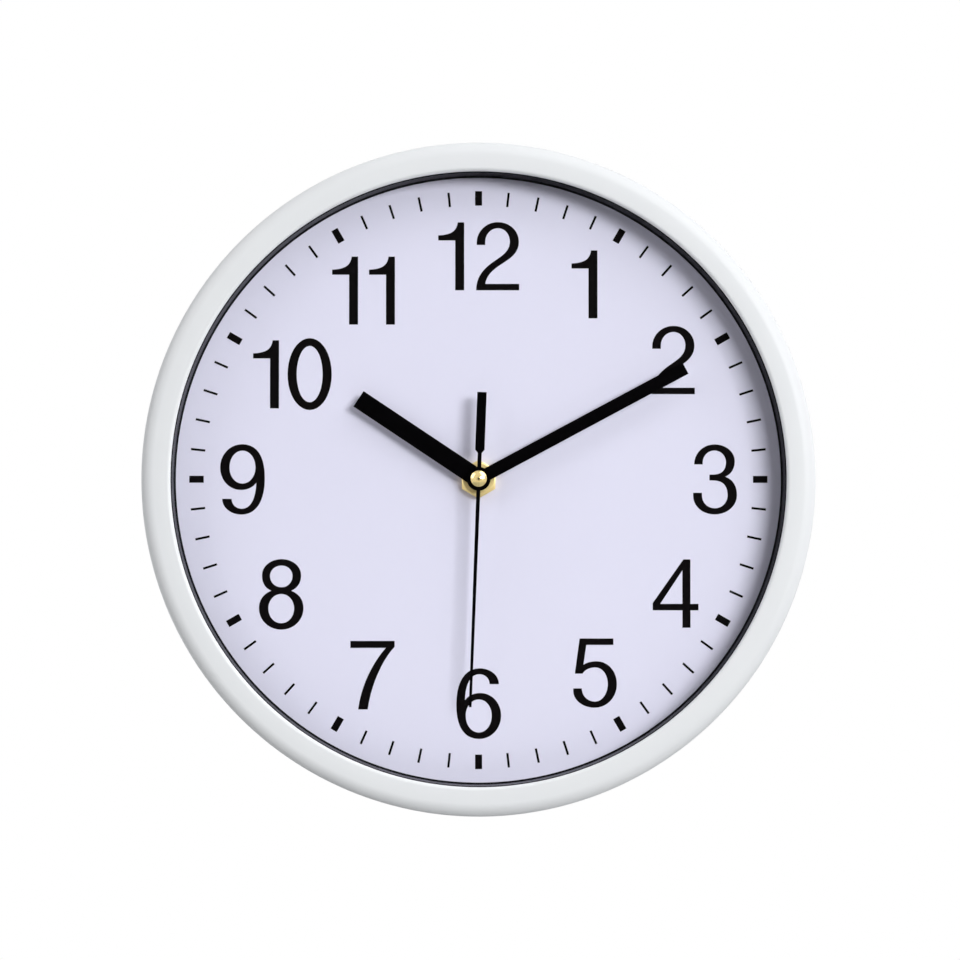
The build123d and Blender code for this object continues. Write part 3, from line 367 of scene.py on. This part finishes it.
def clear_lens():
    """Flat clear glass: what is behind it shows through, with a soft reflection that grows at the edge."""
    finish = Finish("clear_lens")
    through = finish.node("ShaderNodeBsdfTransparent", values={"Color": (0.996, 1.0, 0.998, 1)})
    film = finish.noise(18 * MM, 3)
    gloss = finish.node("ShaderNodeBsdfGlossy",
                        values={"Color": (1, 1, 1, 1), "Roughness": 0.03})
    edge = finish.node("ShaderNodeLayerWeight", values={"Blend": 0.5}, output="Facing")
    share = (0.018 + 0.98 * edge ** 5.0) * (0.9 + 0.1 * film)
    finish.out(finish.node("ShaderNodeMixShader", values={0: share, 1: through, 2: gloss}))
    return finish.material


def rubber():
    """The rubber washer behind the dial's backing: dull black with a dusty grain."""
    finish = Finish("black_rubber")
    grain = finish.noise(0.5 * MM, 4)
    return finish.solid(
        Base_Color=finish.between(grain, (0.022, 0.022, 0.022), (0.04, 0.04, 0.04)),
        Roughness=0.75 + 0.15 * (grain - 0.5),
        Normal=finish.relief(grain, 0.03 * MM))


def cell_sleeve():
    """The plain shrunk sleeve of the cell: slate blue, with a pale grey band at the positive end."""
    finish = Finish("cell_sleeve")
    across = finish.along("X")
    wrinkle = finish.noise(2.5 * MM, 3, (0.25, 1, 1))
    band = across > SLEEVE_BAND
    line = (across > SLEEVE_LINE) - band
    body = finish.between(band, (0.045, 0.085, 0.13), (0.50, 0.52, 0.53))
    return finish.solid(
        Base_Color=finish.between(line, body, (0.70, 0.71, 0.72)),
        Roughness=0.24 + 0.12 * (wrinkle - 0.5),
        Normal=finish.relief(wrinkle, 0.05 * MM))


def board_laminate():
    """Brown paper laminate with copper tracks under a clear lacquer."""
    finish = Finish("board_laminate")
    fibre = finish.noise(0.8 * MM, 4)
    tracks = (finish.along("Z") / TRACK_PITCH).wave() > TRACK_GAP
    board = finish.between(fibre, (0.24, 0.165, 0.06), (0.34, 0.245, 0.10))
    return finish.solid(
        Base_Color=finish.between(tracks, board, (0.55, 0.33, 0.14)),
        Roughness=0.42 - 0.12 * tracks,
        Normal=finish.relief(tracks, 0.035 * MM, finish.relief(fibre, 0.01 * MM)))


# ---- Card, board and print --------------------------------------------------------------------------


def dial_card():
    """Pale lavender white printed card with a faint fibre."""
    finish = Finish("dial_card")
    cloud = finish.noise(40 * MM, 2)
    fibre = finish.noise(0.45 * MM, 4)
    tint = finish.between(cloud, (0.80, 0.785, 0.945), (0.82, 0.805, 0.965))
    return finish.solid(
        Base_Color=finish.between(0.12 * fibre, tint, (0.70, 0.69, 0.84)),
        Specular_IOR_Level=0.2,
        Roughness=0.55 + 0.1 * (fibre - 0.5),
        Normal=finish.relief(fibre, 0.006 * MM))


def printed_ink():
    """Screen-printed black: dense, a little uneven where the screen laid it down."""
    finish = Finish("printed_ink")
    mesh = finish.noise(0.3 * MM, 3)
    return finish.solid(
        Base_Color=finish.between(mesh, (0.0025, 0.002, 0.0022), (0.0045, 0.0035, 0.0038)),
        Specular_IOR_Level=0.02,
        Roughness=0.6 + 0.12 * (mesh - 0.5),
        Normal=finish.relief(mesh, 0.004 * MM))


def pressed_board():
    """The dial's backing: pressed fibre board."""
    finish = Finish("pressed_board")
    fibre = finish.noise(1.2 * MM, 5, (1, 1, 3))
    return finish.solid(
        Base_Color=finish.between(fibre, (0.50, 0.45, 0.38), (0.70, 0.66, 0.60)),
        Roughness=0.8 + 0.1 * (fibre - 0.5),
        Normal=finish.relief(fibre, 0.06 * MM))


# ---- Metals -----------------------------------------------------------------------------------------


def metal(name, colour, roughness, stretch=(1, 1, 1), streak=1.2 * MM, variation=0.08):
    """Bare or plated metal with its rolling or polishing streaks."""
    finish = Finish(name)
    streaks = finish.noise(streak, 4, stretch)
    tone = finish.noise(9 * MM, 2)
    return finish.solid(
        Base_Color=finish.between(tone, shaded(colour, 1 - variation), colour),
        Metallic=1.0,
        Roughness=roughness + 0.12 * (streaks - 0.5),
        Normal=finish.relief(streaks, 0.006 * MM))


def zinc_plate():
    """Zinc plated steel: small dull spangles and a faint straw tone."""
    finish = Finish("zinc_plate")
    spangle = finish.cells(1.6 * MM)
    tone = finish.noise(8 * MM, 3)
    silver = finish.between(spangle, (0.52, 0.53, 0.54), (0.68, 0.69, 0.70))
    return finish.solid(
        Base_Color=finish.between(0.35 * tone, silver, (0.66, 0.62, 0.50)),
        Metallic=1.0,
        Roughness=0.34 + 0.16 * (spangle - 0.5),
        Normal=finish.relief(tone, 0.03 * MM))


def turned_brass():
    """Brass turned on a lathe: polished, with faint rings about the hands' axis."""
    finish = Finish("turned_brass")
    rings = (finish.from_axis() / TURNING_PITCH).wave()
    tone = finish.noise(1.4 * MM, 3)
    return finish.solid(
        Base_Color=finish.between(tone, (0.80, 0.60, 0.24), (0.94, 0.80, 0.40)),
        Metallic=1.0,
        Roughness=0.14 + 0.21 * (finish.from_axis() > CAP_REACH) + 0.08 * (tone - 0.5) + 0.03 * rings,
        Normal=finish.relief(rings, 0.003 * MM, finish.relief(tone, 0.012 * MM)))


def copper_winding():
    """Enamelled wire laid turn by turn along the bobbin."""
    finish = Finish("copper_winding")
    turns = (finish.along("X") / WIRE_PITCH).wave()
    tone = finish.noise(2.5 * MM, 2)
    return finish.solid(
        Base_Color=finish.between(tone, (0.50, 0.16, 0.06), (0.72, 0.28, 0.12)),
        Metallic=0.9,
        Roughness=0.30 + 0.1 * (tone - 0.5),
        Normal=finish.relief(turns, 0.06 * MM))


def black_paint():
    """The painted hands: black with a low sheen and a very fine orange peel."""
    finish = Finish("black_paint")
    peel = finish.noise(0.5 * MM, 2)
    return finish.solid(
        Base_Color=finish.between(peel, (0.0006, 0.0005, 0.0008), (0.0012, 0.001, 0.0015)),
        Specular_IOR_Level=0.02,
        Roughness=0.30 + 0.06 * (peel - 0.5),
        Normal=finish.relief(peel, 0.004 * MM))


def sintered():
    """The rotor's magnet: grey sintered grain."""
    finish = Finish("sintered_magnet")
    grain = finish.noise(0.25 * MM, 4)
    return finish.solid(
        Base_Color=finish.between(grain, (0.10, 0.10, 0.11), (0.20, 0.20, 0.21)),
        Metallic=0.6,
        Roughness=0.5 + 0.2 * (grain - 0.5),
        Normal=finish.relief(grain, 0.02 * MM))


FINISHES = {
    "white_abs_gloss": satin_white(),
    "white_abs": moulded("matt_white", (0.80, 0.81, 0.81), 0.52, 0.5 * MM, 0.03 * MM),
    "clear_glass": clear_lens(),
    "black_ring": black_gloss(),
    "dial_card": dial_card(),
    "backing_board": pressed_board(),
    "zinc_steel": zinc_plate(),
    "black_rubber": rubber(),
    "brass": turned_brass(),
    "movement_black": moulded("movement_black", (0.022, 0.022, 0.024), 0.46, 0.4 * MM, 0.04 * MM, 0.2),
    "bridge_plastic": moulded("bridge_plastic", (0.80, 0.79, 0.74), 0.42),
    "magnetic_steel": metal("magnetic_steel", (0.45, 0.45, 0.44), 0.38, (0.1, 1, 1)),
    "bobbin_plastic": moulded("bobbin_plastic", (0.75, 0.73, 0.66), 0.45),
    "copper_wire": copper_winding(),
    "circuit_board": board_laminate(),
    "black_resin": moulded("black_resin", (0.015, 0.015, 0.016), 0.18, 0.9 * MM, 0.02 * MM, 0.2),
    "crystal_can": metal("crystal_can", (0.75, 0.75, 0.72), 0.2),
    "contact_strip": metal("contact_strip", (0.70, 0.69, 0.65), 0.26, (1, 1, 0.1)),
    "cell_can": metal("cell_can", (0.74, 0.74, 0.72), 0.22, (1, 0.2, 0.2)),
    "cell_washer": moulded("cell_washer", (0.82, 0.82, 0.79), 0.7),
    "cell_sleeve": cell_sleeve(),
    "magnet": sintered(),
    "wheel_plastic": moulded("wheel_plastic", (0.86, 0.85, 0.80), 0.32),
    "second_train": moulded("second_train", (0.84, 0.82, 0.76), 0.30),
    "knob_plastic": moulded("knob_red", (0.55, 0.03, 0.025), 0.34, 0.5 * MM, 0.02 * MM, 0.12),
    "black_hands": black_paint(),
}
INK = printed_ink()

# ---- Meshes from geometry trees ---------------------------------------------------------------------


class Growth:
    """A geometry tree with named inputs, and the nodes that make it."""

    def __init__(self, name, inputs):
        self.tree = bpy.data.node_groups.new(name, "GeometryNodeTree")
        self.tree.interface.new_socket("Geometry", in_out="OUTPUT", socket_type="NodeSocketGeometry")
        for label, kind in inputs.items():
            self.tree.interface.new_socket(label, in_out="INPUT", socket_type="NodeSocket" + kind)
        self.start = self.tree.nodes.new("NodeGroupInput")

    def given(self, label):
        return self.start.outputs[label]

    def node(self, kind, settings=None, values=None):
        return add_node(self.tree, kind, settings, values).outputs[0]

    def math(self, operation, *values):
        return self.node("ShaderNodeMath", {"operation": operation}, dict(enumerate(values)))

    def vector(self, x=0.0, y=0.0, z=0.0):
        return self.node("ShaderNodeCombineXYZ", values={0: x, 1: y, 2: z})

    def finished(self, geometry, smooth):
        """Stands the geometry up, realizes it and gives it its material."""
        upright = self.node("GeometryNodeTransform",
                            values={"Geometry": geometry, "Rotation": (pi / 2, 0.0, 0.0)})
        real = self.node("GeometryNodeRealizeInstances", values={0: upright})
        even = self.node("GeometryNodeSetShadeSmooth", values={"Geometry": real, "Shade Smooth": smooth})
        coated = self.node("GeometryNodeSetMaterial",
                           values={"Geometry": even, "Material": self.given("Finish")})
        add_end(self.tree, "NodeGroupOutput", coated)
        return self.tree


def track_tree():
    """Marks round a circle, every fifth one wide, lying on the dial."""
    growth = Growth("minute_track", {
        "Marks": "Int", "Marks per Hour": "Int", "Radius": "Float", "Length": "Float",
        "Hour Width": "Float", "Minute Width": "Float", "Thickness": "Float", "Face": "Float",
        "Finish": "Material"})
    circle = growth.node("GeometryNodeMeshCircle",
                         values={"Vertices": growth.given("Marks"), "Radius": growth.given("Radius")})
    level = growth.math("ADD", growth.given("Face"), growth.math("DIVIDE", growth.given("Thickness"), 2.0))
    raised = growth.node("GeometryNodeTransform",
                         values={"Geometry": circle, "Translation": growth.vector(z=level)})
    index = growth.node("GeometryNodeInputIndex")
    turn = growth.math("DIVIDE", growth.math("MULTIPLY", index, 2 * pi), growth.given("Marks"))
    beyond = growth.math("MODULO", index, growth.given("Marks per Hour"))
    on_hour = growth.math("LESS_THAN", beyond, 0.5)
    wider = growth.math("SUBTRACT", growth.given("Hour Width"), growth.given("Minute Width"))
    width = growth.math("MULTIPLY_ADD", on_hour, wider, growth.given("Minute Width"))
    mark = growth.node("GeometryNodeMeshCube", values={"Size": (1.0, 1.0, 1.0)})
    marks = growth.node("GeometryNodeInstanceOnPoints", values={
        "Points": raised, "Instance": mark, "Rotation": growth.vector(z=turn),
        "Scale": growth.vector(growth.given("Length"), width, growth.given("Thickness"))})
    return growth.finished(marks, False)


def sweep_tree():
    """A closed section swept round the hands' axis."""
    growth = Growth("swept_ring", {
        "Section": "Geometry", "Radius": "Float", "Steps": "Int", "Finish": "Material"})
    circle = growth.node("GeometryNodeCurvePrimitiveCircle",
                         values={"Resolution": growth.given("Steps"), "Radius": growth.given("Radius")})
    section = growth.node("GeometryNodeMeshToCurve", values={"Mesh": growth.given("Section")})
    ring = growth.node("GeometryNodeCurveToMesh", values={"Curve": circle, "Profile Curve": section})
    return growth.finished(ring, True)


def boss_tree():
    """Round posts on a circle, each with a blind hole for a screw in its rear end."""
    growth = Growth("screw_bosses", {
        "Count": "Int", "Circle": "Float", "Radius": "Float", "Bore": "Float", "Foot": "Float",
        "Height": "Float", "Bore Depth": "Float", "Finish": "Material"})

    def post(radius, height):
        middle = growth.math("ADD", growth.given("Foot"), growth.math("DIVIDE", growth.given(height), 2.0))
        rod = growth.node("GeometryNodeMeshCylinder", values={
            "Vertices": BOSS_SIDES, "Radius": growth.given(radius), "Depth": growth.given(height)})
        return growth.node("GeometryNodeTransform",
                           values={"Geometry": rod, "Translation": growth.vector(z=middle)})

    hollow = growth.node("GeometryNodeMeshBoolean", {"operation": "DIFFERENCE"},
                         {"Mesh 1": post("Radius", "Height"), "Mesh 2": post("Bore", "Bore Depth")})
    circle = growth.node("GeometryNodeMeshCircle",
                         values={"Vertices": growth.given("Count"), "Radius": growth.given("Circle")})
    spread = growth.node("GeometryNodeTransform",
                         values={"Geometry": circle, "Rotation": (0.0, 0.0, pi / 4)})
    posts = growth.node("GeometryNodeInstanceOnPoints", values={"Points": spread, "Instance": hollow})
    return growth.finished(posts, False)


def placed(name, data):
    """A new object in the scene, with this mesh, curve, lamp or camera."""
    made = bpy.data.objects.new(name, data)
    bpy.context.scene.collection.objects.link(made)
    return made


def evaluated_mesh(source):
    return bpy.data.meshes.new_from_object(source.evaluated_get(bpy.context.evaluated_depsgraph_get()))


def grown(name, tree, values, section=None):
    """A plain mesh object from a geometry tree, with its inputs set."""
    piece = placed(name, section or bpy.data.meshes.new(name))
    modifier = piece.modifiers.new(name, "NODES")
    modifier.node_group = tree
    for socket in tree.interface.items_tree:
        if socket.in_out == "INPUT" and socket.name in values:
            modifier[socket.identifier] = values[socket.name]
    mesh = evaluated_mesh(piece)
    piece.modifiers.clear()
    piece.data = mesh
    return piece


def outward(mesh, crease=None):
    """Points a closed mesh's faces outwards, and keeps edges sharper than the crease sharp."""
    shape = bmesh.new()
    shape.from_mesh(mesh)
    bmesh.ops.remove_doubles(shape, verts=shape.verts, dist=WELD_DISTANCE)
    bmesh.ops.recalc_face_normals(shape, faces=shape.faces)
    shape.to_mesh(mesh)
    shape.free()
    if crease:
        mesh.set_sharp_from_angle(angle=crease)


def dress(piece, body, replaces=()):
    """Says which body a piece rides on, and hides the CAD nodes that it stands for."""
    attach(piece, body)
    if replaces:
        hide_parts(*replaces)
    return piece


# ---- The front frame and the black ring -------------------------------------------------------------


def arc(centre, radius, start, end):
    """Points of an arc in a section, from one angle to another in degrees."""
    angles = [radians(start + (end - start) * step / ARC_STEPS) for step in range(ARC_STEPS + 1)]
    return [(centre[0] + radius * cos(angle), centre[1] + radius * sin(angle)) for angle in angles]


def section_mesh(name, points, radius):
    """A closed section of (distance from the axis, distance from the wall) points, as edges."""
    mesh = bpy.data.meshes.new(name)
    count = len(points)
    places = [(distance - radius, -level, 0) for distance, level in points]
    mesh.from_pydata(places, [(step, (step + 1) % count) for step in range(count)], [])
    return mesh


def swept(name, points, radius, finish):
    """A ring with this section, swept round the hands' axis at this radius."""
    values = {"Radius": radius, "Steps": SWEEP_STEPS, "Finish": finish}
    piece = grown(name, sweep_tree(), values, section_mesh(name, points, radius))
    outward(piece.data, CREASE)
    return piece


def frame_section():
    """The white ring's section: wall, rounded face, lip, rib round the lens and ledge for the back."""
    shoulder = CASE_DEPTH - FRAME_ROUND
    inner_round = FRAME_ROUND - FRAME_WALL - (RIB_OUTSIDE - RIB_INSIDE)
    inside = CASE_RADIUS - FRAME_WALL
    ceiling = CASE_DEPTH - FRAME_WALL
    rib_foot = LENS_FRONT - RIB_DEPTH
    outside = arc((CASE_RADIUS - FRAME_ROUND, shoulder), FRAME_ROUND, 0, 90)
    lip = arc((LIP_RADIUS + LIP_ROUND, CASE_DEPTH - LIP_ROUND), LIP_ROUND, 90, 180)
    hollow = arc((inside - inner_round, ceiling - inner_round), inner_round, 90, 0)
    return [
        (CASE_RADIUS - FRAME_DRAFT, 0), *outside, *lip, (LIP_RADIUS, LENS_FRONT), (RIB_INSIDE, LENS_FRONT),
        (RIB_INSIDE, rib_foot), (RIB_OUTSIDE, rib_foot), (RIB_OUTSIDE, ceiling), *hollow,
        (LEDGE_RADIUS, FLANGE_FRONT), (REAR_BORE, FLANGE_FRONT), (REAR_BORE, 0)]


def black_ring_section():
    """The black ring's section: a wall that leans outwards between two flanges, with a small step."""
    low, high = DIAL_FACE + RING_FLANGE, LENS_BACK - RING_FLANGE
    step = DIAL_FACE + RING_STEP
    top = [(RING_TOP + RING_EASE, LENS_BACK), (RING_TOP, LENS_BACK - RING_EASE)]
    foot = [(RING_FOOT + RING_STEP, step), (RING_FOOT + RING_EASE, step), (RING_FOOT, step - RING_EASE)]
    return [
        (RING_FOOT, DIAL_FACE), (RING_OUTER, DIAL_FACE), (RING_OUTER, low), (RING_FOOT + RING_WALL, low),
        (RING_TOP + RING_WALL, high), (RING_OUTER, high), (RING_OUTER, LENS_BACK), *top, *foot]


def front_frame():
    """The white ring that closes the front, with its four screw bosses, as one moulding."""
    ring = swept("frame_ring", frame_section(), (CASE_RADIUS + LIP_RADIUS) / 2,
                 FINISHES["white_abs_gloss"])
    bosses = grown("frame_bosses", boss_tree(), {
        "Count": BOSS_COUNT, "Circle": BOSS_CIRCLE, "Radius": BOSS_RADIUS, "Bore": BOSS_BORE,
        "Foot": FLANGE_FRONT, "Height": BOSS_TOP - FLANGE_FRONT, "Bore Depth": BOSS_BORE_DEPTH,
        "Finish": FINISHES["white_abs_gloss"]})
    outward(bosses.data, CREASE)
    dress(bosses, "clock")
    return dress(ring, "clock", ["front_frame"])


def black_ring():
    """The black ring that keeps the lens off the dial."""
    ring = swept("spacer_ring", black_ring_section(), RING_OUTER, FINISHES["black_ring"])
    return dress(ring, "clock", ["inner_ring"])


# ---- The print on the dial --------------------------------------------------------------------------


def minute_track():
    """The sixty printed marks."""
    piece = grown("minute_track", track_tree(), {
        "Marks": TRACK_MARKS, "Marks per Hour": MARKS_PER_HOUR, "Radius": TRACK_RADIUS,
        "Length": MARK_LENGTH, "Hour Width": HOUR_MARK_WIDTH, "Minute Width": MINUTE_MARK_WIDTH,
        "Thickness": INK_THICKNESS, "Face": DIAL_FACE, "Finish": INK})
    outward(piece.data)
    return dress(piece, "clock")


def segments(steps):
    """The start, both handles and the end of each stretch of an outline."""
    here = Vector(steps[0])
    stretches = []
    for step in steps[1:]:
        end = Vector(step[-2:])
        across, up = Vector((end.x - here.x, 0)), Vector((0, end.y - here.y))
        if step[0] == "x":
            handles = here + BEND * across, end - BEND * up
        elif step[0] == "y":
            handles = here + BEND * up, end - BEND * across
        elif len(step) == 2:
            handles = here, end
        else:
            handles = Vector(step[:2]), Vector(step[2:4])
        stretches.append((here, *handles, end))
        here = end
    if (stretches[0][0] - here).length:
        stretches.append((here, here, stretches[0][0], stretches[0][0]))
    return stretches


def add_outline(curve, steps, to_dial):
    """Adds a closed outline to a flat curve, each of its points moved by to_dial."""
    stretches = segments(steps)
    spline = curve.splines.new("BEZIER")
    spline.bezier_points.add(len(stretches) - 1)
    spline.use_cyclic_u = True
    for number, point in enumerate(spline.bezier_points):
        here, leaving, _, _ = stretches[number]
        arriving = stretches[number - 1][2]
        point.handle_left_type = point.handle_right_type = "FREE"
        point.co, point.handle_left, point.handle_right = [
            to_dial(place).to_3d() for place in (here, arriving, leaving)]


def figure_outlines(figure):
    """A figure's outlines, and whether they are turned half round."""
    return (FIGURE_OUTLINES_MM["6"], True) if figure == "9" else (FIGURE_OUTLINES_MM[figure], False)


def numerals():
    """The twelve hour numbers, printed on the dial."""
    curve = bpy.data.curves.new("numerals", "CURVE")
    curve.dimensions = "2D"
    curve.fill_mode = "BOTH"
    curve.resolution_u = FIGURE_CURVE_STEPS
    curve.extrude = INK_THICKNESS / 2
    for figure, left, line in FIGURE_PLACES_MM:
        outlines, turned = figure_outlines(figure)
        for steps in outlines:
            def to_dial(place):
                upright = 2 * Vector(NINE_TURNS_ABOUT_MM) - place if turned else place
                return (upright + Vector((left, line))) * MM
            add_outline(curve, steps, to_dial)
    flat = placed("numerals_outline", curve)
    mesh = evaluated_mesh(flat)
    bpy.data.objects.remove(flat)
    mesh.transform(STAND_UP @ Matrix.Translation((0, 0, DIAL_FACE + INK_THICKNESS / 2)))
    outward(mesh)
    mesh.materials.clear()
    mesh.materials.append(INK)
    return dress(placed("numerals", mesh), "clock")


# ---- Everything else keeps its CAD shape ------------------------------------------------------------


def finish_nodes():
    """Each CAD node takes the finish of its own material slot."""
    for part in frame["record"]["subparts"]:
        mesh = NODES[part["node"]].data
        mesh.materials.clear()
        mesh.materials.append(FINISHES[part["material_slot"]])


# ---- Studio -----------------------------------------------------------------------------------------
CAMERA_DISTANCE = 1.2
CAMERA_LENS = 117.8         # millimetres on a 36 mm sensor
CAMERA_AZIMUTH = -0.5
CAMERA_ELEVATION = -1.8
CAMERA_TARGET = (0.53 * MM, -0.0264, -0.25 * MM)
FRONT_LIGHT = 0.035
FRONT_COLOUR = (1.0, 0.955, 0.945)
BACK_LIGHT = 0.95
BACK_COLOUR = (0.98, 0.99, 1.0)
GLOSS_LIGHT = 0.95
DARK_CORE = 10              # degrees from straight behind the camera
DARK_EDGE = 17
DARK_LEVEL = 0.005
LAMP_DISTANCE = 5.0
KEY_DIRECTION = (0.61, -1.0, 0.25)
KEY_SIZE = (2.3, 1.3)
KEY_POWER = 172.0
TOP_DIRECTION = (0.62, -0.5, 0.76)
TOP_SIZE = (4.0, 4.0)
TOP_POWER = 128.0
FILL_DIRECTION = (-1.0, -0.5, 0.55)
FILL_SIZE = (3.5, 3.5)
FILL_POWER = 80.0
HORIZON = (-0.1, 0.35)      # between these the room's light goes from that of the front to the back's
FLOOR_LEVEL = -0.85
FLOOR_SIZE = 3.0
FLOOR_GREY = 0.5
FLOOR_GLOW = 0.6


class Stage:
    """The nodes of the world or of the floor, which only the studio uses."""

    def __init__(self, owner):
        owner.use_nodes = True
        self.tree = owner.node_tree
        self.tree.nodes.clear()

    def node(self, kind, settings=None, values=None, output=0):
        return add_node(self.tree, kind, settings, values).outputs[output]

    def ray(self, label):
        return self.node("ShaderNodeLightPath", output=label)

    def ramp(self, value, start_end, low_high):
        """Eases from the low level to the high one as the value goes from start to end."""
        return self.node("ShaderNodeMapRange", {"interpolation_type": "SMOOTHSTEP"}, {
            "Value": value, "From Min": start_end[0], "From Max": start_end[1],
            "To Min": low_high[0], "To Max": low_high[1]})

    def mix(self, share, first, second):
        """The level that is this share of the way from the first level to the second."""
        return self.node("ShaderNodeMix", {"data_type": "FLOAT"},
                         {"Factor": share, FLOAT_A: first, FLOAT_B: second})

    def seen(self):
        """1 for a ray from the camera, straight or through glass, and 0 for any other."""
        return self.node("ShaderNodeMath", {"operation": "MAXIMUM"},
                         {0: self.ray("Is Camera Ray"), 1: self.ray("Is Transmission Ray")})


def room():
    """White to look at, a soft even light on the clock, and a dark end behind the camera for gloss."""
    world = bpy.data.worlds.new("room")
    bpy.context.scene.world = world
    stage = Stage(world)
    way = stage.node("ShaderNodeTexCoord", output="Generated")
    ahead = stage.node("ShaderNodeSeparateXYZ", values={0: way}, output="Y")
    behind = stage.ramp(ahead, HORIZON, (0, 1))
    even = stage.mix(behind, FRONT_LIGHT, BACK_LIGHT)
    gloss = stage.ramp(ahead, (-cos(radians(DARK_CORE)), -cos(radians(DARK_EDGE))),
                       (DARK_LEVEL, GLOSS_LIGHT))
    level = stage.mix(stage.ray("Is Glossy Ray"), even, gloss)
    colour = stage.node("ShaderNodeMix", {"data_type": "RGBA"}, {
        "Factor": behind, COLOUR_A: (*FRONT_COLOUR, 1), COLOUR_B: (*BACK_COLOUR, 1)}, output=COLOUR_OUT)
    light = stage.node("ShaderNodeBackground", values={"Color": colour, "Strength": level})
    white = stage.node("ShaderNodeBackground", values={"Color": (1, 1, 1, 1), "Strength": 1.0})
    shown = stage.node("ShaderNodeMixShader", values={0: stage.seen(), 1: light, 2: white})
    add_end(stage.tree, "ShaderNodeOutputWorld", shown)


def floor():
    """A plain pale floor well below the clock, which keeps its shadow."""
    half = FLOOR_SIZE / 2
    mesh = bpy.data.meshes.new("floor")
    corners = [(-half, -half, FLOOR_LEVEL), (half, -half, FLOOR_LEVEL),
               (half, half, FLOOR_LEVEL), (-half, half, FLOOR_LEVEL)]
    mesh.from_pydata(corners, [], [(0, 1, 2, 3)])
    material = bpy.data.materials.new("pale_floor")
    stage = Stage(material)
    matt = stage.node("ShaderNodeBsdfDiffuse", values={"Color": (*[FLOOR_GREY] * 3, 1)})
    level = stage.node("ShaderNodeMath", {"operation": "MULTIPLY"}, {0: stage.seen(), 1: FLOOR_GLOW})
    glow = stage.node("ShaderNodeEmission", values={"Strength": level})
    both = stage.node("ShaderNodeAddShader", values={0: matt, 1: glow})
    add_end(stage.tree, "ShaderNodeOutputMaterial", both)
    mesh.materials.append(material)
    placed("floor", mesh)


def soft_lamp(name, direction, size, power):
    """A rectangular lamp that faces the origin from this direction."""
    lamp = bpy.data.lights.new(name, "AREA")
    lamp.shape = "RECTANGLE"
    lamp.size, lamp.size_y = size
    lamp.energy = power
    away = Vector(direction).normalized()
    aim(placed(name, lamp), away * LAMP_DISTANCE, away)


def aim(holder, location, away):
    """Puts a lamp or the camera here, with its back to this direction."""
    holder.location = location
    holder.rotation_mode = "QUATERNION"
    holder.rotation_quaternion = away.to_track_quat("Z", "Y")


def camera():
    """The camera, nearly straight in front and a little low."""
    azimuth, elevation = radians(CAMERA_AZIMUTH), radians(CAMERA_ELEVATION)
    back = Vector((sin(azimuth) * cos(elevation), -cos(azimuth) * cos(elevation), sin(elevation)))
    eye = bpy.data.cameras.new("camera")
    eye.lens = CAMERA_LENS
    eye.clip_start = 0.01
    eye.clip_end = 50
    holder = placed("camera", eye)
    aim(holder, Vector(CAMERA_TARGET) + back * (CAMERA_DISTANCE + CAMERA_TARGET[1]), back)
    bpy.context.scene.camera = holder


finish_nodes()
front_frame()
black_ring()
minute_track()
numerals()
room()
floor()
soft_lamp("key", KEY_DIRECTION, KEY_SIZE, KEY_POWER)
soft_lamp("top", TOP_DIRECTION, TOP_SIZE, TOP_POWER)
soft_lamp("fill", FILL_DIRECTION, FILL_SIZE, FILL_POWER)
camera()
bpy.context.scene.view_settings.view_transform = "Standard"
